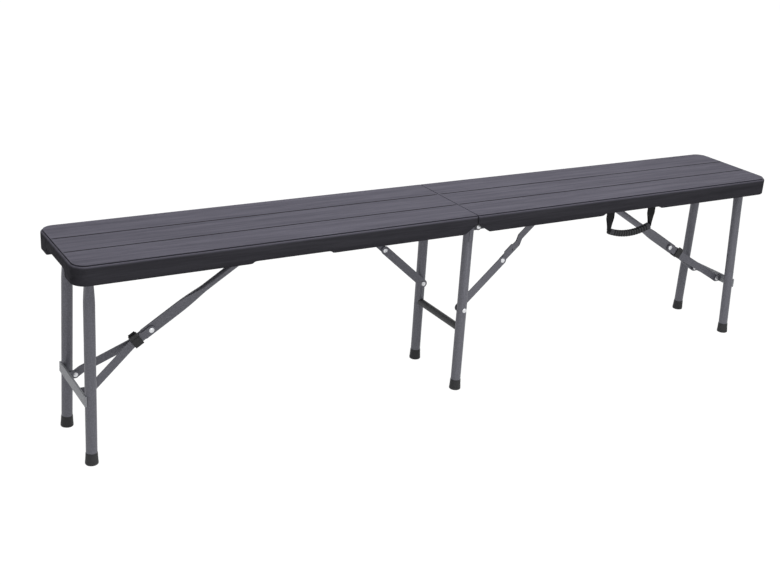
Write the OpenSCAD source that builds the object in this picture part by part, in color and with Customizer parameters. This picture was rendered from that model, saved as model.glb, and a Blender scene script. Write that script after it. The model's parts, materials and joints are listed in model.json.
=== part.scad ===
// Folding bench: two moulded seat halves hinged on a centre frame, with a folding leg frame at each end.
// X runs along the bench, Y to the rear and Z up. The origin is on the floor under the middle of the seat.

/* [Seat] */
// Length of the open bench
bench_l = 1800; // [1600:10:2000]
// Width of the seat
bench_w = 254; // [240:2:320]
// Height of the seat top above the floor
bench_h = 438; // [410:2:480]
// Height of the side wall, from its foot to the seat top
rim_h = 41; // [38:1:50]
// Thickness of the side walls
rim_wall = 12.5; // [10:0.5:17.5]
// Thickness of the end walls
end_wall = 20; // [14:1:26]
// Thickness of the seat plate
plate_t = 13.5; // [9:0.5:14]
// Corner radius at the outer ends
corner_r = 30; // [12:1:45]
// Corner radius at the seam
seam_r = 4; // [2:0.5:8]
// Gap between the two halves
seam_gap = 2; // [1:0.5:6]
// Height of the raised tread above the shoulder
tread_rise = 2.6; // [1:0.2:4]
// Distance of the tread from the side walls and the end wall
tread_in = 4.5; // [3:0.5:8]
// Width of the rounded shoulder
shoulder_w = 4; // [2:0.5:4.5]
// Rounding along the foot of the side wall
hem_r = 3; // [1:0.5:5]
// Number of planks drawn on each half
planks = 3; // [2:1:5]
// Width of a groove between planks
groove_w = 3; // [1.5:0.5:5]
// Depth of a groove between planks
groove_d = 1.5; // [0.6:0.2:2.4]

/* [Seat cut-outs] */
// Distance of the hand notch from the seam
notch_x = 450; // [380:5:520]
// Length of the hand notch
notch_l = 185; // [150:5:230]
// Depth of the hand notch
notch_d = 5.5; // [2:0.5:9]
// Run of the sloped ends of the hand notch
notch_slope = 8; // [4:1:16]
// Width of the arch in the end wall
arch_w = 132; // [90:2:150]
// Height of the arch in the end wall
arch_h = 17; // [10:1:20]
// Corner radius of the arch
arch_r = 10; // [4:1:10]
// Length of the bevel beside the seam
bevel_l = 33; // [26:1:50]
// Thickness of the lip along the seam
lip_t = 5; // [3:0.5:6]
// Drop of the lip below the seat plate
lip_drop = 5.5; // [3:0.5:6]

/* [Underside ribs] */
// Number of cross ribs under each half
ribs = 6; // [2:1:9]
// Width of a cross rib
rib_w = 7; // [4:1:12]
// Drop of a cross rib below the seat plate
rib_drop = 1.2; // [0.6:0.1:1.5]
// Half width of a cross rib
rib_y = 60; // [40:2:64]

/* [Side rails] */
// Thickness of a rail
rail_t = 2; // [1.5:0.25:2.5]
// Width of the flange that is screwed to the seat
flange_w = 18; // [14:1:20]
// Thickness of the flange
flange_t = 1.8; // [1.2:0.2:2]
// Distance from the foot of the side wall up to the rail
rail_up = 2; // [1:0.5:4]
// Distance from the end wall to the rail
rail_end = 10; // [4:1:18]
// Diameter of the rail screws
screw_d = 4; // [3:0.5:5]
// Depth of a screw in the seat
screw_in = 9; // [6:1:9]
// Screws along one rail
rail_screws = 6; // [4:1:8]
// Distance of the first screw from the rail's inner end
screw_first = 24; // [18:2:40]
// Distance of the last screw from the rail's outer end
screw_last = 36; // [28:2:50]

/* [Centre hinge] */
// Distance of each hinge pivot from the middle
pivot_x = 15; // [13:0.5:18]
// Depth of the hinge pivots below the seat top
pivot_drop = 33; // [31:0.5:36]
// Radius of the hinge eyes
eye_r = 8.5; // [7:0.5:9]
// Diameter of the hinge rivets
hinge_pin_d = 8; // [6:0.5:8]
// Thickness of the hinge plates
plate_th = 3; // [2:0.5:3]
// Length of the hinge plate below the pivots
plate_drop = 34; // [24:1:44]
// Width of the hinge plate where it lies on the leg
plate_w = 10; // [8:1:12]
// Depth of the flat in the leg tube under the hinge plate
plate_in = 1; // [0.6:0.1:1.4]

/* [Tubes and feet] */
// Diameter of the leg tubes
leg_d = 23; // [18:1:24]
// Wall of the leg tubes
leg_wall = 1.5; // [1:0.25:3]
// Distance of the end feet inside the line of the centre legs
foot_in = 3.6; // [0:0.2:8]
// Distance that the end feet stand outside the leg tops, to the front and rear
leg_splay = 16; // [0:1:20]
// Height of a foot cap
foot_h = 25; // [18:1:36]
// Diameter of a foot cap at its top
foot_top_d = 25.4; // [25:0.2:26]
// Diameter of a foot cap at the floor
foot_d = 26; // [25:0.5:26]
// Thickness of the sole under a tube
sole_t = 4; // [2:0.5:8]

/* [End legs] */
// Distance of the leg axle from the end of the bench
axle_in = 44; // [38:1:60]
// Depth of the leg axle below the seat top
axle_drop = 29; // [28:0.5:30]
// Distance that the feet stand outside the axle
foot_out = 12; // [4:1:20]
// Diameter of the leg axle
axle_d = 8; // [6:0.5:8]
// Thickness of the pressed top of a leg
press_t = 12; // [11:0.5:14]
// Width of the pressed top of a leg
press_w = 26; // [23:1:26]
// Length of the pressed top below the axle
press_l = 54; // [40:2:80]
// Length of the neck between the round tube and the pressed top
press_neck = 20; // [12:1:40]
// Distance of the crossbar down the leg from the axle
bar_down = 270; // [240:5:275]
// Height of the crossbar
bar_h = 22; // [16:1:28]
// Distance from the leg's centre line to the crossbar's outer face
bar_out = 14; // [13.5:0.5:15]
// Thickness of the crossbar
bar_t = 4.5; // [3.5:0.5:4.5]
// Reach of the crossbar past the legs' centre lines
bar_over = 8; // [6:1:10]

/* [End braces] */
// Distance of the brace anchor from the middle of the bench
anchor_x = 433; // [425:1:436]
// Depth of the brace anchor below the seat top
anchor_drop = 30; // [28:1:31]
// Diameter of the brace tube
tube_d = 16; // [13:0.5:18]
// Wall of the brace tube
tube_wall = 1.2; // [1:0.1:2.5]
// Thickness of the pressed tongue of the brace tube
tongue_t = 5; // [4:0.5:6]
// Width of the pressed tongue
tongue_w = 25; // [22:1:26]
// Length of the pressed tongue above the knuckle
tongue_l = 72; // [64:2:90]
// Length of the shoulder of the tongue below the knuckle
tongue_tail = 20; // [14:1:22]
// Length of the neck between the round brace tube and a pressed end
tube_neck = 26; // [18:1:30]
// Length of the flat eye at the anchor
eye_l = 14; // [12:1:18]
// Width of the narrow tail that carries the lock slider
tail_w = 16; // [12:1:17]
// Height of the fork bars
fork_h = 18; // [16:1:18]
// Thickness of the fork bars
fork_t = 3; // [2:0.5:4]
// Distance of the fork bars' feet from the middle line
fork_y = 42; // [34:1:50]
// Length over which the fork bars run side by side below the knuckle
fork_neck = 50; // [49:1:60]
// Distance from the leg's centre line to the fork pins
fork_pin_in = 5; // [4:0.5:7]
// Diameter of the fork pins
fork_pin_d = 6; // [5:0.5:7]
// Diameter of the knuckle rivet
knuckle_d = 7; // [5:0.5:8]
// Distance of the lock slider below the knuckle
lock_at = 27; // [26:1:28]
// Length of the lock slider
lock_l = 20; // [14:1:20]
// Wall of the lock slider and of the sleeves under it
lock_wall = 2.5; // [1.5:0.5:3]
// Reach of the lock slider down over the fork bars
lock_lap = 0.8; // [0.4:0.2:1]
// Height of the thumb lip on the lock slider
thumb_h = 3.5; // [2:0.5:3.5]

/* [Centre frame and links] */
// Depth of the link pivots on the centre legs below the hinge pivots
link_drop = 203; // [195:1:213]
// Depth of the centre crossbar below the link pivots
mid_bar_drop = 49; // [34:1:70]
// Diameter of the centre crossbar
mid_bar_d = 17; // [14:1:20]
// Length of the lower links
low_l = 150; // [146:0.5:156]
// Depth of the upper link pins below the seat top
up_drop = 25; // [24:0.5:26]
// Width of the lower links
low_w = 20; // [16:0.5:20]
// Width of the upper links
up_w = 16; // [13:1:16]
// Thickness of the links
link_t = 2.5; // [2:0.25:3]
// Diameter of the link pins
link_pin_d = 6; // [5:0.5:6.5]
// Distance from the top pin to the joggle of the upper link
bend_at = 95; // [85:1:105]
// Length of the joggle
bend_l = 17; // [14:1:24]
// Sideways step of the joggle
joggle = 9.5; // [7:0.5:11]
// Distance of the stop lug above the knuckle
lug_at = 15; // [14:1:22]
// Length of the stop lug
lug_l = 30; // [12:1:32]
// Height of the stop lug above the edge of the link
lug_h = 3; // [1:0.5:3]
// Distance of the dimple in the upper link above the knuckle
dimple_at = 35; // [20:1:42]
// Diameter of the dimple
dimple_d = 5; // [3:0.5:7]

/* [Handle] */
// Distance of the handle from the seam
handle_x = 457; // [430:1:480]
// Distance between the handle straps
strap_span = 128; // [110:2:132]
// Width of the handle straps
strap_w = 24; // [18:1:28]
// Thickness of the handle straps
strap_t = 2.5; // [1.5:0.5:3]
// Drop of the straps from the swing axis to the ends of the grip
strap_drop = 49; // [40:1:70]
// Sag of the grip
grip_sag = 12; // [4:1:20]
// Depth of the grip from front to rear
grip_w = 15; // [12:1:15]
// Height of the grip
grip_h = 15; // [11:1:18]

/* [Fits] */
// Gap between pieces that pass each other
gap = 0.4; // [0.3:0.05:0.5]
// Radial clearance of the turning pins
run_fit = 0.05; // [0.03:0.01:0.09]
// Radial clearance of fixed pins and screws
seat_fit = 0.02; // [0.02:0.01:0.04]

/* [Hidden] */
$fn = 48;

leg_r = leg_d / 2;
tiny = 0.02;
steel = [0.42, 0.42, 0.43];
dark_steel = [0.3, 0.3, 0.31];
zinc = [0.82, 0.83, 0.84];
black = [0.1, 0.1, 0.11];

// Heights that follow the seat
rim_z = bench_h - rim_h;
roof_z = bench_h - plate_t;
shoulder_z = bench_h - tread_rise;
lip_z = roof_z - lip_drop;
well_y = bench_w / 2 - rim_wall;
well_x0 = seam_gap / 2 + lip_t;
well_x1 = bench_l / 2 - end_wall;

// Planes of the pieces beside the legs, counted in from the side wall: strap ends, rail, hinge plate, leg, link
screw_head = 1.2;
rail_room = 2 * strap_t + screw_head + 2 * gap;
rail_y = well_y - rail_room - rail_t;
plate_y = rail_y - gap - plate_th;
leg_y = plate_y + plate_in - leg_r;
low_y = leg_y - leg_r - gap - link_t;
flange_z = roof_z - flange_t;
flange_y = rail_y + rail_t - flange_w;

// Planes of the upper link and of its ear under the seat, counted from the middle of the lower link
up_in = link_t / 2 + gap;
top_in = up_in + joggle;
ear_in = top_in + link_t + gap;

// Centre hinge
pivot_z = bench_h - pivot_drop;

// End legs: the leg leans out, and folds until it lies along the seat
axle_x = bench_l / 2 - axle_in;
axle_z = bench_h - axle_drop;
lean = atan2(foot_out, axle_z);
leg_l = norm([foot_out, axle_z]);
foot_y = leg_y - foot_in;
top_y = foot_y - leg_splay;
splay = atan2(leg_splay, leg_l);
splay_l = norm([leg_splay, leg_l]);
bar_y = top_y + leg_splay * bar_down / leg_l;

// End brace: anchor, fork pin, and the knuckle that lets both lie flat when the leg is folded
anchor_z = bench_h - anchor_drop;
fork_pin_x = axle_x + bar_down * sin(lean) - fork_pin_in * cos(lean);
fork_pin_z = axle_z - bar_down * cos(lean) - fork_pin_in * sin(lean);
brace_l = norm([fork_pin_x - anchor_x, fork_pin_z - anchor_z]);
brace_tilt = atan2(anchor_z - fork_pin_z, fork_pin_x - anchor_x);
folded_dx = axle_x - bar_down - anchor_x;
folded_dz = axle_z + fork_pin_in - anchor_z;
folded_d = norm([folded_dx, folded_dz]);
tube_l = (brace_l * brace_l - folded_d * folded_d) / (2 * (brace_l - folded_dx));
fork_l = brace_l - tube_l;
fork_y0 = tongue_t / 2 + gap;
fork_y1 = fork_y0 + fork_t;
fork_r = fork_h / 2;
fork_rise_end = fork_l - 16;
lock_y = fork_y1 + gap;

// Centre links: the lower link's length sets the upper one, so that both lie along the folded seat
link_z = pivot_z - link_drop;
mid_bar_z = link_z - mid_bar_drop;
up_z = bench_h - up_drop;
knuckle_x1 = pivot_x + up_z - pivot_z;
knuckle_z1 = link_z + sqrt(low_l * low_l - knuckle_x1 * knuckle_x1);
link_c = low_l + knuckle_z1 - pivot_z;
link_h = up_z - link_z;
up_r = (pivot_x * pivot_x + link_h * link_h - link_c * link_c) / (2 * (link_c - pivot_x));
up_x = pivot_x + up_r;
up_l = up_r + knuckle_z1 - pivot_z;
link_tilt = atan2(link_h, up_x);

// Handle
strap_y = well_y - gap - strap_t / 2;
swing_z = rim_z + notch_d - gap - strap_t / 2 - 0.6;

// ---------- Placing ----------

// The left end mirrors the right end
module at_end(end) {
    mirror([end == "left" ? 1 : 0, 0, 0])
        children();
}

// What isn't alike from front to rear is turned half round instead
module turned_end(end) {
    rotate([0, 0, end == "left" ? 180 : 0])
        children();
}

module at_row(row) {
    mirror([0, row == "front" ? 1 : 0, 0])
        children();
}

// The leg's own frame: the axle at the origin, the foot down
module on_leg() {
    translate([axle_x, 0, axle_z])
        rotate([0, -lean, 0])
            children();
}

// The tube's frame inside the leg's frame, leaning out to the floor
module on_end_tube() {
    translate([0, top_y, 0])
        rotate([splay, 0, 0])
            children();
}

// The end brace's own frame: the knuckle at the origin, the fork pins along +X
module on_brace() {
    translate([anchor_x, 0, anchor_z])
        rotate([0, brace_tilt, 0])
            translate([tube_l, 0, 0])
                children();
}

// The centre links' own frame: the leg pivot at the origin, the top pin along +X
module on_links() {
    translate([0, 0, link_z])
        rotate([0, -link_tilt, 0])
            children();
}

// Y counts from the middle of the lower link: out at the left end, and in at the right end
module beside_lower(end) {
    translate([0, low_y + link_t / 2, 0])
        mirror([0, end == "right" ? 1 : 0, 0])
            children();
}

// ---------- Shared shapes ----------

// A cylinder along Y from y0 to y1
module ybar(d, y0, y1) {
    translate([0, y0, 0])
        rotate([-90, 0, 0])
            cylinder(d = d, h = y1 - y0);
}

// A flat outline in X and Z, drawn out along Y from y0 to y1
module yplate(y0, y1) {
    translate([0, y1, 0])
        rotate([90, 0, 0])
            linear_extrude(y1 - y0)
                children();
}

// A strip with round ends between two points on the X axis
module strip_2d(x0, x1, w) {
    translate([x0, -w / 2])
        square([x1 - x0, w]);
    translate([x0, 0])
        circle(d = w);
    translate([x1, 0])
        circle(d = w);
}

// A low domed rivet head on the face y, standing out by h
module rivet_head(d, y, h) {
    translate([0, y, 0])
        rotate([-90, 0, 0])
            rotate_extrude()
                polygon([[0, 0], [d / 2, 0], [d / 2, h * 0.35], [d * 0.42, h * 0.7], [d * 0.24, h], [0, h]]);
}

// ---------- Seat ----------

// Plan of the right half, taken in by inset, and by seam_in at the seam
module seat_plan(inset, seam_in) {
    r0 = max(seam_r - inset, 0.8);
    r1 = corner_r - inset;
    hull()
        for (s = [-1, 1]) {
            translate([seam_gap / 2 + seam_in + r0, s * (bench_w / 2 - inset - r0)])
                circle(r0, $fn = 24);
            translate([bench_l / 2 - inset - r1, s * (bench_w / 2 - inset - r1)])
                circle(r1, $fn = 40);
        }
}

// One convex layer of the seat, through the levels [height, inset, inset at the seam]
module seat_layer(levels) {
    hull()
        for (l = levels)
            translate([0, 0, l[0]])
                linear_extrude(tiny)
                    seat_plan(l[1], l[2]);
}

// The wall with its hem and shoulder, and the tread, which runs on to the seam
module seat_skin() {
    seat_layer([
        [rim_z, hem_r, hem_r], [rim_z + 0.3 * hem_r, 0.3 * hem_r, 0.3 * hem_r], [rim_z + hem_r, 0, 0],
        [shoulder_z - shoulder_w, 0, 0], [shoulder_z - 0.3 * shoulder_w, 0.3 * shoulder_w, 0.3 * shoulder_w],
        [shoulder_z - tiny, shoulder_w, shoulder_w]
    ]);
    seat_layer([
        [shoulder_z - shoulder_w - 1, tread_in, 0], [bench_h - 0.8, tread_in, 0],
        [bench_h - tiny, tread_in + 0.8, 0.8]
    ]);
}

// The hollow under the seat plate
module seat_well() {
    translate([0, 0, rim_z - 1])
        linear_extrude(roof_z - rim_z + 1)
            hull()
                for (x = [well_x0 + 6, well_x1 - 12], s = [-1, 1])
                    translate([x, s * (well_y - (x < bench_l / 4 ? 6 : 12))])
                        circle(x < bench_l / 4 ? 6 : 12, $fn = 32);
}

// The bevel beside the seam, right across the half
module seam_bevel() {
    yplate(-bench_w, bench_w)
        polygon([
            [-1, rim_z - 1], [seam_gap / 2 + bevel_l, rim_z - 1], [seam_gap / 2 + bevel_l, rim_z],
            [seam_gap / 2 + 1, lip_z], [-1, lip_z]
        ]);
}

module end_arch() {
    translate([well_x1 - 1, 0, rim_z])
        rotate([90, 0, 90])
            linear_extrude(end_wall + 2) {
                translate([-arch_w / 2, -1])
                    square([arch_w, arch_h - arch_r + 1]);
                translate([-arch_w / 2 + arch_r, -1])
                    square([arch_w - 2 * arch_r, arch_h + 1]);
                for (s = [-1, 1])
                    translate([s * (arch_w / 2 - arch_r), arch_h - arch_r])
                        circle(arch_r);
            }
}

module hand_notch() {
    translate([notch_x, 0, rim_z])
        yplate(-bench_w, 1 - well_y)
            polygon([
                [-notch_l / 2, -1], [-notch_l / 2, 0], [-notch_l / 2 + notch_slope, notch_d],
                [notch_l / 2 - notch_slope, notch_d], [notch_l / 2, 0], [notch_l / 2, -1]
            ]);
}

module plank_grooves() {
    tread_w = bench_w - 2 * tread_in;
    x0 = seam_gap / 2 + 2 * tread_in;
    for (i = [1:planks - 1])
        translate([x0, tread_w * (i / planks - 0.5), bench_h])
            rotate([90, 0, 90])
                linear_extrude(bench_l / 2 - x0 - 2 * tread_in)
                    polygon([[-groove_w / 2, 0.01], [0, -groove_d], [groove_w / 2, 0.01]]);
}

// Moulded ribs that stiffen the plate between the rails
module seat_ribs() {
    for (i = [1:ribs]) {
        x = well_x0 + (anchor_x - 40 - well_x0) * i / (ribs + 1);
        translate([x - rib_w / 2, -rib_y, roof_z - rib_drop])
            cube([rib_w, 2 * rib_y, rib_drop + 1]);
    }
}

module seat_half(end) {
    color([0.36, 0.35, 0.39])
        at_end(end)
            difference() {
                union() {
                    difference() {
                        seat_skin();
                        seat_well();
                    }
                    seat_ribs();
                }
                seam_bevel();
                end_arch();
                hand_notch();
                plank_grooves();
                for (row = ["front", "rear"])
                    at_row(row)
                        rail_screw_places()
                            translate([0, 0, roof_z - 1])
                                cylinder(d = screw_d + 2 * seat_fit, h = screw_in + 1.3);
                anchor_screw_places()
                    translate([0, 0, roof_z - 1])
                        cylinder(d = screw_d + 2 * seat_fit, h = screw_in + 1.3);
                if (end == "right")
                    handle_screw_places()
                        ybar(screw_d + 2 * seat_fit, -well_y - screw_in - 0.3, -well_y + 1);
            }
}

// ---------- Side rails ----------

rail_x0 = well_x0 + 1.5;
rail_x1 = well_x1 - rail_end;

module rail(end, row) {
    color(dark_steel)
        at_end(end)
            at_row(row) {
                if ((end == "right") == (row == "front"))
                    link_ear(end);
                difference() {
                    yplate(rail_y, rail_y + rail_t) {
                        translate([rail_x0, rim_z + rail_up])
                            square([rail_x1 - rail_x0, roof_z - rim_z - rail_up]);
                        translate([pivot_x, pivot_z])
                            circle(eye_r);
                    }
                    translate([pivot_x, 0, pivot_z])
                        ybar(hinge_pin_d + 2 * run_fit, 0, bench_w);
                    translate([axle_x, 0, axle_z])
                        ybar(axle_d + 4 + 2 * seat_fit, 0, bench_w);
                }
                difference() {
                    translate([rail_x0, flange_y, flange_z])
                        cube([rail_x1 - rail_x0, flange_w - rail_t, flange_t]);
                    rail_screw_places()
                        translate([0, 0, flange_z - 1])
                            cylinder(d = screw_d + 2 * seat_fit, h = flange_t + 2);
                }
            }
}

// The ear of the link pin, on a tab of the rail's flange
module link_ear(end) {
    ear_y = low_y + link_t / 2 + (end == "right" ? -ear_in - link_t : ear_in);
    base_y = min(ear_y, flange_y);
    difference() {
        union() {
            yplate(ear_y, ear_y + link_t) {
                translate([up_x, up_z])
                    circle(d = up_w);
                translate([up_x - up_w / 2, up_z])
                    square([up_w, roof_z - up_z]);
            }
            translate([up_x - up_w, base_y, flange_z])
                cube([2 * up_w, rail_y - base_y, flange_t]);
        }
        translate([up_x, 0, up_z])
            ybar(link_pin_d + 2 * seat_fit, 0, rail_y);
    }
}

// Screw places along one rail, clear of the folded feet and of the link pin
module rail_screw_places() {
    step = (rail_x1 - rail_x0 - screw_first - screw_last) / (rail_screws - 1);
    for (i = [0:rail_screws - 1])
        translate([rail_x0 + screw_first + step * i, rail_y - flange_w / 3, 0])
            children();
}

// A flat screw with its head under the face z
module screw_up(z) {
    translate([0, 0, z - 1])
        cylinder(d = 2 * screw_d, h = 1);
    translate([0, 0, z - 0.1])
        cylinder(d = screw_d, h = roof_z - z + screw_in);
}

module rail_screw_set(end) {
    color(zinc)
        at_end(end) {
            for (row = ["front", "rear"])
                at_row(row)
                    rail_screw_places()
                        screw_up(flange_z);
            anchor_screw_places()
                screw_up(roof_z - anchor_t);
        }
}

// Bushes in the rails, drawn in to the leg tops as spacers
module axle_bushes(end) {
    color(black)
        at_end(end)
            for (row = ["front", "rear"])
                at_row(row)
                    translate([axle_x, 0, axle_z])
                        difference() {
                            union() {
                                ybar(axle_d + 4, top_y + press_w / 2 + 2 * gap, rail_y + rail_t + 1);
                                ybar(axle_d + 9, rail_y + rail_t + 0.02, rail_y + rail_t + 1);
                            }
                            ybar(axle_d + 2 * run_fit, 0, bench_w);
                        }
}

module link_pin(end) {
    color(zinc)
        turned_end(end)
            at_row("front")
                translate([up_x, 0, up_z])
                    beside_lower(end) {
                        ybar(link_pin_d, top_in - gap - 0.2, ear_in + link_t + 0.1);
                        mirror([0, 1, 0])
                            rivet_head(link_pin_d + 5, gap - top_in, 1.8);
                        rivet_head(link_pin_d + 5, ear_in + link_t, 1.8);
                    }
}

// ---------- Brace anchor under the seat ----------

anchor_t = 3;
anchor_ear = anchor_t;

module anchor_screw_places() {
    for (s = [-1, 1], t = [-1, 1])
        translate([anchor_x + s * 20, t * 16, 0])
            children();
}

module brace_anchor(end) {
    color(dark_steel)
        at_end(end)
            difference() {
                union() {
                    translate([anchor_x - 29, -24, roof_z - anchor_t])
                        cube([58, 48, anchor_t]);
                    for (row = ["front", "rear"])
                        at_row(row)
                            yplate(fork_y0, fork_y0 + anchor_ear) {
                                translate([anchor_x, anchor_z])
                                    circle(9);
                                translate([anchor_x - 12, anchor_z])
                                    square([24, roof_z - anchor_z]);
                            }
                }
                translate([anchor_x, 0, anchor_z])
                    ybar(knuckle_d + 2 * seat_fit, -bench_w, bench_w);
                anchor_screw_places()
                    translate([0, 0, roof_z - anchor_t - 1])
                        cylinder(d = screw_d + 2 * seat_fit, h = anchor_t + 2);
            }
}

module anchor_pin(end) {
    color(zinc)
        at_end(end)
            translate([anchor_x, 0, anchor_z]) {
                ybar(knuckle_d, -fork_y1 - 0.1, fork_y1 + 0.1);
                for (row = ["front", "rear"])
                    at_row(row)
                        rivet_head(12, fork_y0 + anchor_ear, 2.5);
            }
}

// ---------- End legs ----------

// Plan of a pressed tube: flat sides across X, round ends in Y
module pressed_2d() {
    square([press_t, press_w - press_t], center = true);
    for (s = [-1, 1])
        translate([0, s * (press_w - press_t) / 2])
            circle(d = press_t);
}

module end_leg(end, row) {
    neck_z = -press_l - press_neck;
    color(steel)
        at_end(end)
            at_row(row)
                on_leg()
                    difference() {
                        on_end_tube() difference() {
                            union() {
                                translate([0, 0, sole_t - splay_l])
                                    cylinder(r = leg_r, h = splay_l + neck_z - sole_t);
                                hull() {
                                    translate([0, 0, neck_z])
                                        cylinder(r = leg_r, h = tiny, $fn = 32);
                                    translate([0, 0, -press_l])
                                        linear_extrude(tiny)
                                            pressed_2d($fn = 32);
                                }
                                translate([0, 0, -press_l])
                                    linear_extrude(press_l + axle_d)
                                        pressed_2d();
                            }
                            translate([0, 0, -splay_l])
                                cylinder(r = leg_r - leg_wall, h = splay_l + neck_z);
                        }
                        ybar(axle_d + 2 * seat_fit, -bench_w, bench_w);
                    }
}

module leg_axle(end) {
    color(zinc)
        at_end(end)
            translate([axle_x, 0, axle_z]) {
                ybar(axle_d, -rail_y - rail_t - 1.5, rail_y + rail_t + 1.5);
                for (row = ["front", "rear"])
                    at_row(row)
                        rivet_head(axle_d + 4, rail_y + rail_t + 1.3, 2.2);
            }
}

module end_crossbar(end) {
    color([0.55, 0.55, 0.56])
        at_end(end)
            on_leg()
                difference() {
                    translate([bar_out - bar_t, -bar_y - bar_over, -bar_down - bar_h / 2])
                        cube([bar_t, 2 * (bar_y + bar_over), bar_h]);
                    for (row = ["front", "rear"])
                        at_row(row)
                            on_end_tube()
                                translate([0, 0, -bar_down - bar_h])
                                    cylinder(r = leg_r + seat_fit, h = 2 * bar_h);
                }
}

// Two U brackets on the inner face of the crossbar hold the fork
module fork_brackets(end) {
    inner = fork_y - fork_t / 2 - gap;
    outer = fork_y + fork_t / 2 + gap;
    wall = 2;
    face = bar_out - bar_t;
    color(steel)
        at_end(end)
            on_leg()
                for (row = ["front", "rear"])
                    at_row(row)
                        translate([0, 0, -bar_down]) {
                            translate([face - wall, inner - wall, -8])
                                cube([wall, outer - inner + 2 * wall, 16]);
                            for (y = [inner - wall, outer])
                                difference() {
                                    yplate(y, y + wall) {
                                        translate([-fork_pin_in, 0])
                                            circle(8);
                                        translate([-fork_pin_in, -8])
                                            square([fork_pin_in + face, 16]);
                                    }
                                    translate([-fork_pin_in, 0, 0])
                                        ybar(fork_pin_d + 2 * seat_fit, 0, bench_w);
                                }
                        }
}

module fork_pins(end) {
    color(zinc)
        at_end(end)
            on_leg()
                for (row = ["front", "rear"])
                    at_row(row)
                        translate([-fork_pin_in, 0, -bar_down]) {
                            ybar(fork_pin_d, fork_y - fork_t / 2 - gap - 2.5, fork_y + fork_t / 2 + gap + 2.1);
                            rivet_head(fork_pin_d + 4, fork_y + fork_t / 2 + gap + 2, 2.2);
                            mirror([0, 1, 0])
                                rivet_head(fork_pin_d + 4, -fork_y + fork_t / 2 + gap + 2, 1.8);
                        }
}

// A cap on the end of a tube: h is the tube's length below the frame that calls it
module foot_cap(h) {
    difference() {
        union() {
            translate([0, 0, -h - 2])
                cylinder(d = foot_d, h = 8);
            translate([0, 0, 6 - h])
                cylinder(d1 = foot_d, d2 = foot_top_d, h = foot_h - 8);
            translate([0, 0, foot_h - 2 - h])
                cylinder(d1 = foot_top_d, d2 = foot_top_d - 1, h = 2);
        }
        translate([0, 0, sole_t - h])
            cylinder(r = leg_r + seat_fit, h = foot_h);
    }
}

module end_foot_caps(end) {
    color(black)
        at_end(end)
            for (row = ["front", "rear"])
                at_row(row)
                    difference() {
                        on_leg()
                            on_end_tube()
                                foot_cap(splay_l);
                        translate([axle_x - 2 * foot_d, 0, -foot_h])
                            cube([4 * foot_d + foot_out, bench_w, foot_h]);
                    }
}

// ---------- End braces ----------

// One fork bar seen from above: beside the tongue at the knuckle, then out to its bracket
module fork_2d() {
    bend = [fork_l - fork_neck - 16, fork_y - fork_t / 2 - fork_y0];
    side = fork_t * (norm(bend) - bend[0]) / bend[1];
    polygon([
        [-fork_r, fork_y0], [fork_neck, fork_y0], [fork_rise_end, fork_y - fork_t / 2],
        [fork_l + fork_r, fork_y - fork_t / 2], [fork_l + fork_r, fork_y + fork_t / 2],
        [fork_rise_end - side, fork_y + fork_t / 2], [fork_neck - side, fork_y1], [-fork_r, fork_y1]
    ]);
}

module fork(end) {
    color(steel)
        at_end(end)
            on_brace()
                for (row = ["front", "rear"])
                    at_row(row)
                        difference() {
                            intersection() {
                                translate([0, 0, -fork_r])
                                    linear_extrude(fork_h)
                                        fork_2d();
                                yplate(0, bench_w)
                                    strip_2d(0, fork_l, fork_h);
                            }
                            ybar(knuckle_d + 2 * seat_fit, 0, bench_w);
                            translate([fork_l, 0, 0])
                                ybar(fork_pin_d + 2 * run_fit, 0, bench_w);
                        }
}

// The knuckle rivet ends at the tongue's faces
module knuckle_rivet(end) {
    color(zinc)
        at_end(end)
            on_brace()
                for (row = ["front", "rear"])
                    at_row(row) {
                        ybar(knuckle_d, fork_y0, fork_y1 + 0.1);
                        rivet_head(12, fork_y1, 3);
                    }
}

// A neck of the brace tube: flat, tongue_t thick and w wide at x0, and round at x1
module tube_neck_piece(x0, x1, w) {
    hull() {
        translate([x0 - (x0 > x1 ? tiny : 0), -tongue_t / 2, -w / 2])
            cube([tiny, tongue_t, w]);
        translate([x1 - (x0 > x1 ? 0 : tiny), 0, 0])
            rotate([0, 90, 0])
                cylinder(d = tube_d - 0.3, h = tiny, $fn = 32);
    }
}

module brace_tube(end) {
    eye_w = tongue_w - 4;
    round0 = tube_neck + eye_l - tube_l;
    round1 = -tongue_l - tube_neck;
    color(steel)
        at_end(end)
            on_brace()
                difference() {
                    union() {
                        translate([round0, 0, 0])
                            rotate([0, 90, 0])
                                cylinder(d = tube_d, h = round1 - round0);
                        tube_neck_piece(-tongue_l, round1 - 0.5, tongue_w);
                        tube_neck_piece(eye_l - tube_l, round0 + 0.5, eye_w);
                        tongue();
                        translate([-tube_l, 0, 0])
                            yplate(-tongue_t / 2, tongue_t / 2) {
                                circle(d = eye_w);
                                translate([0, -eye_w / 2])
                                    square([eye_l, eye_w]);
                            }
                    }
                    translate([round0 + 4, 0, 0])
                        rotate([0, 90, 0])
                            cylinder(d = tube_d - 2 * tube_wall, h = round1 - round0 - 8);
                    translate([-tube_l, 0, 0])
                        ybar(knuckle_d + 2 * run_fit, -bench_w, bench_w);
                }
}

// The pressed end of the brace tube, with a shoulder and a narrow tail for the lock slider
module tongue() {
    yplate(-tongue_t / 2, tongue_t / 2) {
        translate([-tongue_l, -tongue_w / 2])
            square([tongue_l + tongue_tail - 3, tongue_w]);
        translate([0, 3 - tongue_w / 2])
            square([tongue_tail, tongue_w - 6]);
        for (s = [-1, 1])
            translate([tongue_tail - 3, s * (tongue_w / 2 - 3)])
                circle(3);
        translate([0, -tail_w / 2])
            square([lock_at + lock_l, tail_w]);
    }
}

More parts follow.
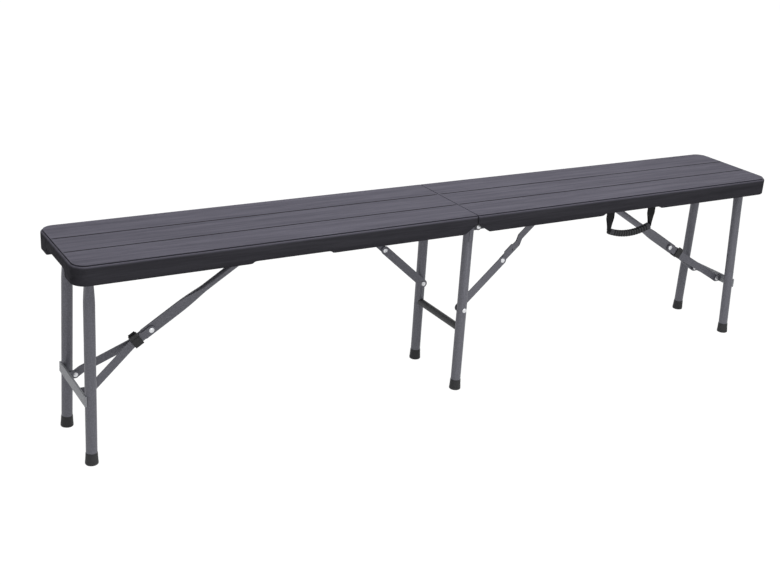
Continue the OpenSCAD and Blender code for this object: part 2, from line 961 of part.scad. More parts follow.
// A saddle over both fork bars, seated on the tail and open below so that the fork can swing out
module lock_slider(end) {
    rise = fork_r + gap;
    color(black)
        turned_end(end)
            on_brace()
                translate([lock_at, 0, 0]) {
                    translate([0, -lock_y - lock_wall, rise])
                        cube([lock_l, 2 * (lock_y + lock_wall), lock_wall]);
                    for (row = ["front", "rear"])
                        at_row(row)
                            translate([0, lock_y, fork_r - lock_lap])
                                cube([lock_l, lock_wall, lock_lap + gap + 0.1]);
                    translate([0, -tongue_t / 2, tail_w / 2 + 0.1])
                        cube([lock_l, tongue_t, rise - tail_w / 2]);
                    translate([2, -lock_y - lock_wall, rise + lock_wall - 0.1])
                        cube([lock_l - 4, lock_wall, thumb_h + 0.1]);
                }
}

// A sleeve on the outside of each fork bar carries the lock slider's outline down round the bar
module lock_sleeves(end) {
    foot_z = -fork_r - gap - lock_wall;
    color(black)
        at_end(end)
            on_brace()
                for (row = ["front", "rear"])
                    at_row(row)
                        translate([lock_at, 0, 0]) {
                            translate([0, fork_y1, foot_z])
                                cube([lock_l, lock_y + lock_wall - fork_y1, fork_r - lock_lap - gap - foot_z]);
                            translate([0, fork_y0 + 0.2, foot_z])
                                cube([lock_l, fork_t, -fork_r - foot_z]);
                        }
}

// ---------- Centre frame ----------

module centre_leg(row) {
    color(steel)
        at_row(row)
            difference() {
                translate([0, leg_y, sole_t])
                    cylinder(r = leg_r, h = pivot_z - sole_t);
                translate([0, leg_y, 0])
                    cylinder(r = leg_r - leg_wall, h = pivot_z - 2);
                translate([-leg_d, plate_y, pivot_z - plate_drop - 1])
                    cube([2 * leg_d, leg_d, plate_drop + 20]);
                translate([0, 0, link_z])
                    ybar(link_pin_d + 2 * seat_fit, 0, bench_w);
            }
}

module centre_crossbar() {
    color(dark_steel)
        difference() {
            translate([0, 0, mid_bar_z])
                difference() {
                    ybar(mid_bar_d, leg_r - leg_y - 5, leg_y - leg_r + 5);
                    ybar(mid_bar_d - 2 * leg_wall, -bench_w, bench_w);
                }
            for (s = [-1, 1])
                translate([0, s * leg_y, 0])
                    cylinder(r = leg_r + seat_fit, h = bench_h);
        }
}

module hinge_plate(row) {
    color(steel)
        at_row(row)
            difference() {
                yplate(plate_y, plate_y + plate_th) {
                    translate([-pivot_x, pivot_z - eye_r])
                        square([2 * pivot_x, 2 * eye_r]);
                    for (s = [-1, 1])
                        translate([s * pivot_x, pivot_z])
                            circle(eye_r);
                    translate([-plate_w / 2, pivot_z - plate_drop])
                        square([plate_w, plate_drop]);
                }
                for (s = [-1, 1])
                    translate([s * pivot_x, 0, pivot_z])
                        ybar(hinge_pin_d + 2 * seat_fit, 0, bench_w);
            }
}

module hinge_rivets() {
    color(zinc)
        for (row = ["front", "rear"], s = [-1, 1])
            at_row(row)
                translate([s * pivot_x, 0, pivot_z]) {
                    ybar(hinge_pin_d, plate_y - 0.1, rail_y + rail_t + gap);
                    mirror([0, 1, 0])
                        rivet_head(hinge_pin_d + 3, -plate_y, 1.6);
                    rivet_head(hinge_pin_d + 3, rail_y + rail_t + gap, 2.4);
                }
}

module leg_rivets() {
    color(zinc)
        for (row = ["front", "rear"])
            at_row(row)
                translate([0, 0, link_z]) {
                    ybar(link_pin_d, low_y - 0.5, leg_y + leg_r + 0.1);
                    mirror([0, 1, 0])
                        rivet_head(link_pin_d + 5, gap - low_y, 2);
                    rivet_head(link_pin_d + 5, leg_y + leg_r, 2);
                }
}

module centre_foot_caps() {
    color(black)
        for (s = [-1, 1])
            difference() {
                translate([0, s * leg_y, 0])
                    foot_cap(0);
                translate([-foot_d, -bench_w, -foot_h])
                    cube([2 * foot_d, 2 * bench_w, foot_h]);
            }
}

// ---------- Centre links ----------

module lower_link(end) {
    color(steel)
        turned_end(end)
            at_row("front")
                on_links()
                    difference() {
                        yplate(low_y, low_y + link_t)
                            strip_2d(0, low_l, low_w);
                        ybar(link_pin_d + 2 * run_fit, 0, bench_w);
                        translate([low_l, 0, 0])
                            ybar(link_pin_d + 2 * seat_fit, 0, bench_w);
                    }
}

// The knuckle is parted between the links, and each keeps its own share of the rivet
module lower_rivet(end) {
    color(zinc)
        turned_end(end)
            at_row("front")
                on_links()
                    beside_lower(end)
                        translate([low_l, 0, 0]) {
                            ybar(link_pin_d, -link_t / 2 - 0.1, link_t / 2);
                            mirror([0, 1, 0])
                                rivet_head(link_pin_d + 5, link_t / 2, 2);
                        }
}

// The upper link seen from above: beside the lower link, then away from it to its ear
module upper_2d() {
    x1 = low_l + up_l;
    b = x1 - bend_at;
    side = link_t * (norm([bend_l, joggle]) - bend_l) / joggle;
    polygon([
        [low_l - up_w, up_in], [b - bend_l, up_in], [b, top_in], [x1 + up_w, top_in],
        [x1 + up_w, top_in + link_t], [b - side, top_in + link_t],
        [b - bend_l - side, up_in + link_t], [low_l - up_w, up_in + link_t]
    ]);
}

// The outline of the upper link, with the stop lug on its upper edge
module upper_side_2d() {
    edge = up_w / 2;
    strip_2d(low_l, low_l + up_l, up_w);
    translate([low_l + lug_at, 0])
        polygon([
            [0, 0], [lug_l, 0], [lug_l, edge], [lug_l - lug_h, edge + lug_h], [lug_h, edge + lug_h], [0, edge]
        ]);
}

module upper_link(end) {
    color(steel)
        turned_end(end)
            at_row("front")
                on_links()
                    beside_lower(end)
                        difference() {
                            intersection() {
                                translate([0, 0, -up_w / 2])
                                    linear_extrude(up_w + lug_h)
                                        upper_2d();
                                yplate(0, bench_w)
                                    upper_side_2d();
                            }
                            translate([low_l, 0, 0])
                                ybar(link_pin_d + 2 * seat_fit, 0, bench_w);
                            translate([low_l + dimple_at, 0, 0])
                                ybar(dimple_d, 0, up_in + link_t * 0.6);
                            translate([low_l + up_l, 0, 0])
                                ybar(link_pin_d + 2 * run_fit, 0, bench_w);
                        }
}

module upper_rivet(end) {
    color(zinc)
        turned_end(end)
            at_row("front")
                on_links()
                    beside_lower(end)
                        translate([low_l, 0, 0]) {
                            ybar(link_pin_d, up_in, up_in + link_t + 0.1);
                            rivet_head(link_pin_d + 4, up_in + link_t, 1.8);
                        }
}

// ---------- Handle ----------

module handle_screw_places() {
    for (s = [-1, 1])
        translate([handle_x + s * strap_span / 2, 0, roof_z - 10])
            children();
}

// The fixed end of each strap, folded double behind its screw
module handle_tabs() {
    low_z = swing_z + strap_t / 2 + gap - (roof_z - 10);
    color(black)
        handle_screw_places()
            difference() {
                union() {
                    translate([-strap_w / 2, -well_y, low_z])
                        cube([strap_w, strap_t + gap, 6.5 - low_z]);
                    translate([-strap_w / 2, -well_y, -6.5])
                        cube([strap_w, 2 * strap_t + gap, 13]);
                }
                ybar(screw_d + 2 * seat_fit, -bench_w, bench_w);
            }
}

module handle_screws() {
    color(zinc)
        handle_screw_places() {
            ybar(screw_d, -well_y - screw_in, -well_y + 2 * strap_t + gap + 0.1);
            rivet_head(10, -well_y + 2 * strap_t + gap, screw_head);
        }
}

// Each strap hangs flat against the wall, stays flat through the notch and turns edge-on at the grip
module handle_straps() {
    flat = rim_wall + 5;
    color(black)
        for (s = [-1, 1])
            translate([handle_x + s * strap_span / 2, -strap_y, swing_z])
                union() {
                    translate([-strap_w / 2, 0, 0])
                        rotate([0, 90, 0])
                            cylinder(d = strap_t, h = strap_w);
                    translate([-strap_w / 2, -strap_t / 2, -flat])
                        cube([strap_w, strap_t, flat]);
                    hull() {
                        translate([-strap_w / 2, -strap_t / 2, -flat])
                            cube([strap_w, strap_t, tiny]);
                        translate([-strap_t / 2, -grip_w / 2 + 1, -strap_drop])
                            cube([strap_t, grip_w - 2, 4]);
                    }
                }
}

module handle_grip() {
    half = strap_span / 2 - strap_t / 2 - seat_fit;
    r = (half * half + grip_sag * grip_sag) / (2 * grip_sag);
    swing = 2 * asin(half / r);
    color(black)
        translate([handle_x, -strap_y, swing_z - strap_drop - grip_sag + r])
            rotate([-90, 0, 0])
                rotate([0, 0, 90 - swing / 2])
                    rotate_extrude(angle = swing, $fn = 160)
                        translate([r, 0]) {
                            square([grip_h - 8, grip_w], center = true);
                            square([grip_h, grip_w - 8], center = true);
                            for (a = [-1, 1], b = [-1, 1])
                                translate([a * (grip_h / 2 - 4), b * (grip_w / 2 - 4)])
                                    circle(4);
                        }
}

// ---------- Nodes ----------

seat_half("left");  // seat_left
seat_half("right");  // seat_right
rail("left", "front");  // rail_left_front
rail("left", "rear");  // rail_left_rear
rail("right", "front");  // rail_right_front
rail("right", "rear");  // rail_right_rear
rail_screw_set("left");  // rail_screws_left
rail_screw_set("right");  // rail_screws_right
axle_bushes("left");  // axle_bushes_left
axle_bushes("right");  // axle_bushes_right
brace_anchor("left");  // brace_anchor_left
brace_anchor("right");  // brace_anchor_right
anchor_pin("left");  // anchor_pin_left
anchor_pin("right");  // anchor_pin_right
link_pin("left");  // link_pin_left
link_pin("right");  // link_pin_right
end_leg("left", "front");  // leg_left_front
end_leg("left", "rear");  // leg_left_rear
end_leg("right", "front");  // leg_right_front
end_leg("right", "rear");  // leg_right_rear
leg_axle("left");  // axle_left
leg_axle("right");  // axle_right
end_crossbar("left");  // crossbar_left
end_crossbar("right");  // crossbar_right
fork_brackets("left");  // fork_brackets_left
fork_brackets("right");  // fork_brackets_right
fork_pins("left");  // fork_pins_left
fork_pins("right");  // fork_pins_right
end_foot_caps("left");  // foot_caps_left
end_foot_caps("right");  // foot_caps_right
fork("left");  // fork_left
fork("right");  // fork_right
knuckle_rivet("left");  // knuckle_rivet_left
knuckle_rivet("right");  // knuckle_rivet_right
lock_sleeves("left");  // lock_sleeves_left
lock_sleeves("right");  // lock_sleeves_right
brace_tube("left");  // brace_tube_left
brace_tube("right");  // brace_tube_right
lock_slider("left");  // lock_slider_left
lock_slider("right");  // lock_slider_right
centre_leg("front");  // centre_leg_front
centre_leg("rear");  // centre_leg_rear
centre_crossbar();
hinge_plate("front");  // hinge_plate_front
hinge_plate("rear");  // hinge_plate_rear
hinge_rivets();
leg_rivets();
centre_foot_caps();  // foot_caps_centre
lower_link("left");  // lower_link_left
lower_link("right");  // lower_link_right
lower_rivet("left");  // lower_rivet_left
lower_rivet("right");  // lower_rivet_right
upper_link("left");  // upper_link_left
upper_link("right");  // upper_link_right
upper_rivet("left");  // upper_rivet_left
upper_rivet("right");  // upper_rivet_right
handle_screws();
handle_tabs();
handle_straps();
handle_grip();
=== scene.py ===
"""Folding bench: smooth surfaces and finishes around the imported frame, with a camera, a floor and soft light."""

import json
import math

import bmesh
import bpy
import numpy as np
from mathutils import Matrix, Vector

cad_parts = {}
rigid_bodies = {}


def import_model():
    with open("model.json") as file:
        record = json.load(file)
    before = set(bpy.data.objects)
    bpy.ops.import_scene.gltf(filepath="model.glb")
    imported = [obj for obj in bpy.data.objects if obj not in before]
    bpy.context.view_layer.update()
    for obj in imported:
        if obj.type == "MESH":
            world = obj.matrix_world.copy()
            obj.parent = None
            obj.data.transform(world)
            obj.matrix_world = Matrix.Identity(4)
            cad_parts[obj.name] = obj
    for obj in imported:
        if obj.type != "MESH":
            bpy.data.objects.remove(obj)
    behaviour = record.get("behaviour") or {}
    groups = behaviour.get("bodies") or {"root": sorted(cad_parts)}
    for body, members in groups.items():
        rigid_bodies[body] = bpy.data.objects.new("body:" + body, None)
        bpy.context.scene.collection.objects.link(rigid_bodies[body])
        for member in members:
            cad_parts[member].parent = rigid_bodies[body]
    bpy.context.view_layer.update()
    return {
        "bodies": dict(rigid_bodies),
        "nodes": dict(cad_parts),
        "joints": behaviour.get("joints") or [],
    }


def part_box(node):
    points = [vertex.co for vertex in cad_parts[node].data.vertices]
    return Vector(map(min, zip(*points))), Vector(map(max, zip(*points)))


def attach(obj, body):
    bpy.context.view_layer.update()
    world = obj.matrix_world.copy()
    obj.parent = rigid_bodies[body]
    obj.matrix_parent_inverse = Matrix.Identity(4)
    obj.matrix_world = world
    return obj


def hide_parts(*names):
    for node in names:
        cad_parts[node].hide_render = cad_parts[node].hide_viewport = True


bl_info = {
    "name": "Folding Bench",
    "version": (1, 0, 0),
    "blender": (4, 5, 0),
    "location": "View3D > Sidebar > Bench",
    "description": "Plank-top folding bench with steel legs, end braces and a strap handle",
    "category": "Object",
}

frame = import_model()
NODES = frame["nodes"]
JOINTS = {joint["name"]: joint for joint in frame["joints"]}
BODY_OF = {
    node: next(name for name, empty in frame["bodies"].items() if empty is NODES[node].parent) for node in NODES
}
ENDS = (("left", -1.0), ("right", 1.0))
ROWS = (("front", -1.0), ("rear", 1.0))
ACROSS = (0.0, 1.0, 0.0)
MM = 0.001


def low(node):
    """The lowest corner of a node at rest."""
    return np.array(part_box(node)[0])


def high(node):
    """The highest corner of a node at rest."""
    return np.array(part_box(node)[1])


def middle_of(node):
    """The middle of a node's box at rest."""
    return (low(node) + high(node)) / 2.0


def pivot(joint):
    """The place of a hinge at rest."""
    return np.array(JOINTS[joint]["pos_m"])


def node_points(node):
    """All corners of a node at rest, as rows of x, y, z."""
    mesh = NODES[node].data
    values = np.empty(3 * len(mesh.vertices))
    mesh.vertices.foreach_get("co", values)
    return values.reshape(-1, 3)


# ---------- Grids of points ----------


def grid_faces(rows, cols, wrap_rows=False, wrap_cols=False):
    """Four-sided faces between neighbouring points of a grid that is numbered row by row."""
    i, j = np.meshgrid(
        np.arange(rows if wrap_rows else rows - 1),
        np.arange(cols if wrap_cols else cols - 1),
        indexing="ij",
    )
    i2, j2 = (i + 1) % rows, (j + 1) % cols
    corners = (i * cols + j, i * cols + j2, i2 * cols + j2, i2 * cols + j)
    return np.stack(corners, axis=-1).reshape(-1, 4)


def circle(count):
    """Angles once round, without the last, which is the first again."""
    return np.linspace(0.0, 2.0 * math.pi, count, endpoint=False)


def smoothstep(x):
    """0 below 0 and 1 above 1, with 3x^2 - 2x^3 between them."""
    x = np.clip(x, 0.0, 1.0)
    return x * x * (3.0 - 2.0 * x)


def place_piece(name, mesh, body, finish, crease):
    """An object for a finished mesh, smooth but for edges sharper than the crease, riding on a body."""
    mesh.polygons.foreach_set("use_smooth", np.ones(len(mesh.polygons), dtype=bool))
    mesh.set_sharp_from_angle(angle=math.radians(crease))
    mesh.materials.append(finish)
    piece = bpy.data.objects.new(name, mesh)
    bpy.context.scene.collection.objects.link(piece)
    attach(piece, body)
    return piece


def add_piece(name, points, faces, body, finish, stands_for=(), crease=40.0, marks=None, outward=True):
    """A piece from arrays. faces is a list of arrays of point numbers, one array for each number of corners."""
    mesh = bpy.data.meshes.new(name)
    loops = [row.tolist() for block in faces for row in block]
    mesh.from_pydata(np.asarray(points).tolist(), [], loops)
    for label, values in (marks or {}).items():
        layer = mesh.attributes.new(label, "FLOAT", "POINT")
        layer.data.foreach_set("value", np.asarray(values, dtype=np.float32).ravel())
    if outward:
        shell = bmesh.new()
        shell.from_mesh(mesh)
        bmesh.ops.recalc_face_normals(shell, faces=shell.faces)
        shell.to_mesh(mesh)
        shell.free()
    piece = place_piece(name, mesh, body, finish, crease)
    if stands_for:
        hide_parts(*stands_for)
    return piece


def soft_copy(node, finish, radius=0.35 * MM, crease=35.0):
    """Hides a CAD node behind a copy of itself: its loose triangles are joined and its edges rounded off."""
    mesh = bpy.data.meshes.new(f"{node}_soft")
    shell = bmesh.new()
    shell.from_mesh(NODES[node].data)
    bmesh.ops.remove_doubles(shell, verts=shell.verts, dist=1e-5)
    bmesh.ops.dissolve_limit(shell, angle_limit=math.radians(0.8), verts=shell.verts, edges=shell.edges)
    if any(not edge.is_manifold for edge in shell.edges):
        raise RuntimeError(f"the copy of {node} isn't closed")
    shell.to_mesh(mesh)
    shell.free()
    piece = place_piece(mesh.name, mesh, BODY_OF[node], finish, crease)
    if radius:
        edges = piece.modifiers.new("soft_edges", "BEVEL")
        edges.width = radius
        edges.segments = 2
        edges.limit_method = "ANGLE"
        edges.angle_limit = math.radians(crease)
        edges.harden_normals = True
    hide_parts(node)
    return piece


class Shell:
    """Collects closed surfaces, so that several make one piece."""

    def __init__(self):
        self.points = []
        self.faces = []
        self.count = 0

    def add(self, points, faces):
        """Points as rows of x, y, z, and a list of arrays of faces."""
        self.points.append(np.asarray(points, dtype=float).reshape(-1, 3))
        self.faces += [np.asarray(block) + self.count for block in faces]
        self.count += len(self.points[-1])

    def tube(self, rings):
        """A skin over rings of points, shaped (rings, points, 3), and closed at both ends by flat faces."""
        rows, cols = rings.shape[:2]
        first = np.arange(cols)[::-1][None, :]
        last = (np.arange(cols) + (rows - 1) * cols)[None, :]
        self.add(rings.reshape(-1, 3), [grid_faces(rows, cols, wrap_cols=True), first, last])

    def turned(self, centre, axis, profile, sides=48):
        """A profile of (distance along the axis, radius) turned round an axis through centre."""
        axis = np.asarray(axis, dtype=float) / np.linalg.norm(axis)
        side = np.cross(axis, [0.0, 0.0, 1.0] if abs(axis[2]) < 0.9 else [1.0, 0.0, 0.0])
        side /= np.linalg.norm(side)
        up = np.cross(axis, side)
        profile = np.asarray(profile, dtype=float)
        angle = circle(sides)
        ring = np.cos(angle)[:, None] * side + np.sin(angle)[:, None] * up
        rings = (
            np.asarray(centre, dtype=float)
            + profile[:, 0, None, None] * axis
            + np.maximum(profile[:, 1], 1e-5)[:, None, None] * ring
        )
        self.tube(rings)

    def piece(self, name, body, slot, finish, stands_for=(), crease=40.0):
        """The collected surfaces as one object."""
        return add_piece(name, np.concatenate(self.points), self.faces, body, finish, stands_for, crease)


def squircle(half_a, half_b, power, count):
    """Rows of count points on |a/half_a|^power + |b/half_b|^power = 1, one row for each half size.

    It is round at power 2 and near a rectangle at power 8."""
    c, s = np.cos(circle(count)), np.sin(circle(count))
    bend = 2.0 / np.broadcast_to(power, half_a.shape)[:, None]
    a = half_a[:, None] * np.sign(c) * np.abs(c) ** bend
    b = half_b[:, None] * np.sign(s) * np.abs(s) ** bend
    return a, b


def domed(face, direction, radius, height, steps=8):
    """Profile of a rivet head that stands on face: a short straight side, then a quarter of an ellipse."""
    t = np.linspace(0.0, math.pi / 2.0, steps)
    side = height * 0.25
    along = np.concatenate([[0.0], side + (height - side) * np.sin(t)])
    out = np.concatenate([[radius], radius * np.cos(t)])
    return np.stack([face + direction * along, out], axis=1)


# ---------- Finishes ----------


def tone(red, green, blue):
    """A display colour of 0 to 255 as the linear colour that a shader reads."""
    values = np.array([red, green, blue]) / 255.0
    linear = np.where(values <= 0.04045, values / 12.92, ((values + 0.055) / 1.055) ** 2.4)
    return (*(float(v) for v in linear), 1.0)


def tinted(colour, factor):
    """A linear colour made lighter or darker by a factor, and held at 1."""
    return (*(min(1.0, c * factor) for c in colour[:3]), 1.0)


class Tap:
    """One output of a node. Arithmetic on it adds Math nodes."""

    def __init__(self, finish, socket):
        self.finish = finish
        self.socket = socket

    def _math(self, operation, first, second):
        return self.finish.node("ShaderNodeMath", {"operation": operation}, {0: first, 1: second})

    def __add__(self, other):
        return self._math("ADD", self, other)

    __radd__ = __add__

    def __sub__(self, other):
        return self._math("SUBTRACT", self, other)

    def __rsub__(self, other):
        return self._math("SUBTRACT", other, self)

    def __mul__(self, other):
        return self._math("MULTIPLY", self, other)

    __rmul__ = __mul__

    def __truediv__(self, other):
        return self._math("DIVIDE", self, other)

    def __pow__(self, other):
        return self._math("POWER", self, other)

    def band(self, start, end):
        """0 at start and 1 at end, held outside them, with a smooth run between."""
        return self.finish.node(
            "ShaderNodeMapRange",
            {"interpolation_type": "SMOOTHSTEP"},
            {"Value": self, "From Min": start, "From Max": end},
        )


class Finish:
    """A material with one Principled shader."""

    def __init__(self, name, colour, roughness, metallic=0.0, specular=0.5):
        self.material = bpy.data.materials.new(name)
        self.material.use_nodes = True
        self.tree = self.material.node_tree
        self.tree.nodes.clear()
        self.shader = self.tree.nodes.new("ShaderNodeBsdfPrincipled")
        out = self.tree.nodes.new("ShaderNodeOutputMaterial")
        self.tree.links.new(self.shader.outputs[0], out.inputs["Surface"])
        self.set("Base Color", colour)
        self.set("Roughness", roughness)
        self.set("Metallic", metallic)
        self.set("Specular IOR Level", specular)
        self.place = self.node("ShaderNodeTexCoord", {}, {}, "Object")

    def put(self, socket, value):
        """A link from a tap, or a plain value."""
        if isinstance(value, Tap):
            self.tree.links.new(value.socket, socket)
        else:
            socket.default_value = value

    def set(self, socket, value):
        """A value or link for one of the shader's own sockets."""
        self.put(self.shader.inputs[socket], value)

    def node(self, kind, settings, inputs, output=0):
        """A node of a kind, with its settings first and then its inputs."""
        made = self.tree.nodes.new(kind)
        for key, value in settings.items():
            setattr(made, key, value)
        for key, value in inputs.items():
            self.put(made.inputs[key], value)
        return Tap(self, made.outputs[output])

    def stretched(self, x, y, z):
        """Object coordinates times x, y and z."""
        return self.node("ShaderNodeMapping", {"vector_type": "POINT"}, {"Vector": self.place, "Scale": (x, y, z)})

    def noise(self, vector, scale, detail=3.0, rough=0.55, distortion=0.0):
        """Noise of 0 to 1 on a vector."""
        return self.node(
            "ShaderNodeTexNoise",
            {},
            {"Vector": vector, "Scale": scale, "Detail": detail, "Roughness": rough, "Distortion": distortion},
        )

    def blend(self, factor, first, second):
        """A colour between first and second."""
        return self.node(
            "ShaderNodeMix",
            {"data_type": "RGBA", "clamp_factor": True},
            {0: factor, 6: first, 7: second},
            2,
        )

    def bump(self, height, distance, strength=1.0, under=None):
        """A normal from a height in metres times distance."""
        inputs = {"Height": height, "Distance": distance, "Strength": strength}
        if under is not None:
            inputs["Normal"] = under
        return self.node("ShaderNodeBump", {}, inputs)

    def mark(self, label):
        """A value stored on the piece's points."""
        return self.node("ShaderNodeAttribute", {"attribute_name": label}, {}, "Fac")


def moulded_seat(name, top, groove, wall):
    """Embossed seat plastic: streaks along the bench in colour, gloss and height, with painted shade in the
    grooves and at the step, and the walls painted a darker shade of the same plastic.
    """
    planks, walls = tone(*top), tone(*wall)
    finish = Finish(name, planks, 0.5, specular=0.05)
    broad = finish.noise(finish.stretched(3.5, 85.0, 85.0), 1.0, 4.0, 0.6, 0.35)
    fine = finish.noise(finish.stretched(16.0, 430.0, 430.0), 1.0, 3.0, 0.6, 0.2)
    cloud = finish.noise(finish.stretched(2.0, 6.0, 6.0), 1.0, 2.0)
    streak = (broad * 0.62 + fine * 0.38).band(0.32, 0.68)
    colour = finish.blend(streak * 0.72 + cloud * 0.28, tinted(planks, 0.78), tinted(planks, 1.24))
    # The wall mark paints the walls and the lower shoulder in the darker wall colour, as painted shade.
    edge = finish.mark("wall")
    rim = finish.blend(streak * 0.6 + cloud * 0.4, tinted(walls, 0.75), tinted(walls, 1.35))
    colour = finish.blend(edge, colour, rim)
    # The groove mark paints shade in the groove colour into the grooves and along the step.
    finish.set("Base Color", finish.blend(finish.mark("groove"), colour, tone(*groove)))
    finish.set("Roughness", 0.66 - streak * 0.14 + edge * 0.2)
    relief = finish.bump(broad * (1.0 - edge * 0.7), 0.0009, 0.55)
    finish.set("Normal", finish.bump(fine, 0.00035, 0.5, relief))
    return finish.material


def hammered_paint(name, colour, depth=0.00035, gloss=0.38):
    """Powder coat with a hammered skin: small rounded pits, each a little lighter or darker than the next."""
    base = tone(*colour)
    finish = Finish(name, base, gloss, metallic=0.25)
    pits = finish.node(
        "ShaderNodeTexVoronoi",
        {"feature": "SMOOTH_F1"},
        {"Vector": finish.place, "Scale": 420.0, "Smoothness": 0.6},
    )
    specks = finish.noise(finish.place, 900.0, 2.0)
    cloud = finish.noise(finish.place, 30.0, 2.0)
    mask = (pits * 0.8 + specks * 0.4).band(0.25, 0.75)
    finish.set("Base Color", finish.blend(mask * 0.7 + cloud * 0.3, tinted(base, 1.16), tinted(base, 0.84)))
    finish.set("Roughness", gloss + mask * 0.14)
    finish.set("Normal", finish.bump(pits, depth, 0.6))
    return finish.material


def zinc_plate(name, colour):
    """Bright plated steel with faint turning marks and a few dull spots."""
    base = tone(*colour)
    finish = Finish(name, base, 0.3, metallic=0.92)
    scuff = finish.noise(finish.place, 700.0, 3.0)
    dull = finish.noise(finish.place, 120.0, 2.0).band(0.45, 0.75)
    finish.set("Roughness", 0.24 + scuff * 0.14 + dull * 0.12)
    finish.set("Base Color", finish.blend(dull, base, tinted(base, 0.8)))
    finish.set("Normal", finish.bump(scuff, 0.00006, 0.4))
    return finish.material


def moulded_black(name, colour, roughness=0.55, grain=1400.0):
    """Black moulded plastic or rubber with a fine spark-eroded skin and a slight haze."""
    base = tone(*colour)
    finish = Finish(name, base, roughness, specular=0.4)
    skin = finish.noise(finish.place, grain, 2.0)
    haze = finish.noise(finish.place, 40.0, 2.0)
    finish.set("Base Color", finish.blend(haze.band(0.4, 0.8), base, tinted(base, 1.35)))
    finish.set("Roughness", roughness + skin * 0.12)
    finish.set("Normal", finish.bump(skin, 0.00012, 0.5))
    return finish.material


def ribbed_rubber(name, colour, groove):
    """Matt rubber, with painted shade in the grooves between the ribs."""
    finish = Finish(name, tone(*colour), 0.6, specular=0.3)
    skin = finish.noise(finish.place, 900.0, 2.0)
    finish.set("Base Color", finish.blend(finish.mark("groove"), tone(*colour), tone(*groove)))
    finish.set("Roughness", 0.56 + skin * 0.14)
    finish.set("Normal", finish.bump(skin, 0.00012, 0.5))
    return finish.material


def webbing(name, colour):
    """Flat woven strap: fine cords along it, crossed by a weft, read from the piece's own run and width marks."""
    base = tone(*colour)
    finish = Finish(name, base, 0.8, specular=0.25)
    warp, weft = (
        finish.node("ShaderNodeMath", {"operation": "SINE"}, {0: finish.mark(mark) * cords}) * 0.5 + 0.5
        for mark, cords in (("across", 4200.0), ("run", 3000.0))
    )
    weave = warp * 0.7 + weft * 0.3
    finish.set("Base Color", finish.blend(weave, base, tinted(base, 2.2)))
    finish.set("Normal", finish.bump(weave, 0.0003, 0.7))
    return finish.material


# ---------- Settings ----------


def colour_property(name, description, default):
    """A display colour of 0 to 1 as a property."""
    return bpy.props.FloatVectorProperty(
        name=name,
        description=description,
        subtype="COLOR_GAMMA",
        size=3,
        min=0.0,
        max=1.0,
        default=tuple(c / 255.0 for c in default),
    )


def length_property(name, description, default, least=0.0, most=1.0):
    """A length in metres as a property."""
    return bpy.props.FloatProperty(
        name=name, description=description, subtype="DISTANCE", unit="LENGTH", default=default, min=least, max=most
    )


def amount_property(name, description, default, **limits):
    """A plain number from 0 up as a property."""
    return bpy.props.FloatProperty(name=name, description=description, default=default, min=0.0, **limits)


class SeatLook(bpy.types.PropertyGroup):
    """Sizes and colours of the seat halves"""

    plank_colour: colour_property("Planks", "Colour of the plank tops", (93, 91, 102))
    # Painted shade: the walls and the underside in a darker copy of the plank colour.
    wall_shade_colour: colour_property("Walls", "Colour of the side walls and the hollow side", (68, 67, 73))
    # Painted shade: the colour laid into the grooves and along the step.
    groove_shade_colour: colour_property("Grooves", "Colour of the grooves between planks and of the step", (26, 25, 29))
    skin: length_property(
        "Skin", "Distance that the visible skin stands out from the solid half", 0.00025, 0.0, 0.001
    )
    grain_depth: length_property("Grain depth", "Height of the embossed wood grain", 0.00018, 0.0, 0.001)
    ring_pitch: length_property("Ring pitch", "Distance between rings of the wood grain", 0.0085, 0.003, 0.03)


class SteelLook(bpy.types.PropertyGroup):
    """Colours of the painted and plated steel"""

    tube_colour: colour_property("Tubes", "Colour of the hammered tubes, braces and links", (124, 124, 133))
    bar_colour: colour_property(
        "End crossbars", "Colour of the flat crossbars between the end legs", (166, 168, 173)
    )
    rail_colour: colour_property("Rails", "Colour of the rails and anchors under the seat", (100, 100, 106))
    under_colour: colour_property(
        "Centre crossbar", "Colour of the crossbar between the centre legs", (62, 62, 65)
    )
    plate_colour: colour_property("Zinc plate", "Colour of the rivets, pins and screws", (222, 223, 226))


class TrimLook(bpy.types.PropertyGroup):
    """Colours of the feet, locks and handle"""

    cap_colour: colour_property("Foot caps", "Colour of the foot caps", (58, 58, 60))
    lock_colour: colour_property("Locks", "Colour of the locks and bushes", (46, 46, 48))
    strap_colour: colour_property("Straps", "Colour of the handle straps", (22, 22, 24))
    grip_colour: colour_property("Grip", "Colour of the ribs of the grip", (70, 70, 74))
    grip_groove_shade_colour: colour_property("Grip grooves", "Colour between the ribs of the grip", (10, 10, 11))
    # Painted shade: the colour between the ribs of the grip.
    rib_pitch: length_property("Rib pitch", "Distance between two ribs of the grip", 0.0078, 0.002, 0.02)


class StageLook(bpy.types.PropertyGroup):
    """Floor, light and camera"""

    floor_shade: amount_property("Floor", "Share of light that the floor sends back", 0.45, max=1.0)
    backdrop: amount_property(
        "Backdrop", "Glow of the floor, of which the camera sees 86 percent and white is 1", 1.17
    )
    key_power: amount_property("Key light", "Power of the large lamp above the bench", 52.0, subtype="POWER")
    fill_power: amount_property("Fill light", "Power of the lamp in front of the bench", 11.0, subtype="POWER")
    sky: amount_property("Sky", "Strength of the even light from all round", 0.19)


def shade(colour):
    """A property's colour as values of 0 to 255."""
    return tuple(c * 255.0 for c in colour)


FINISHES = {}


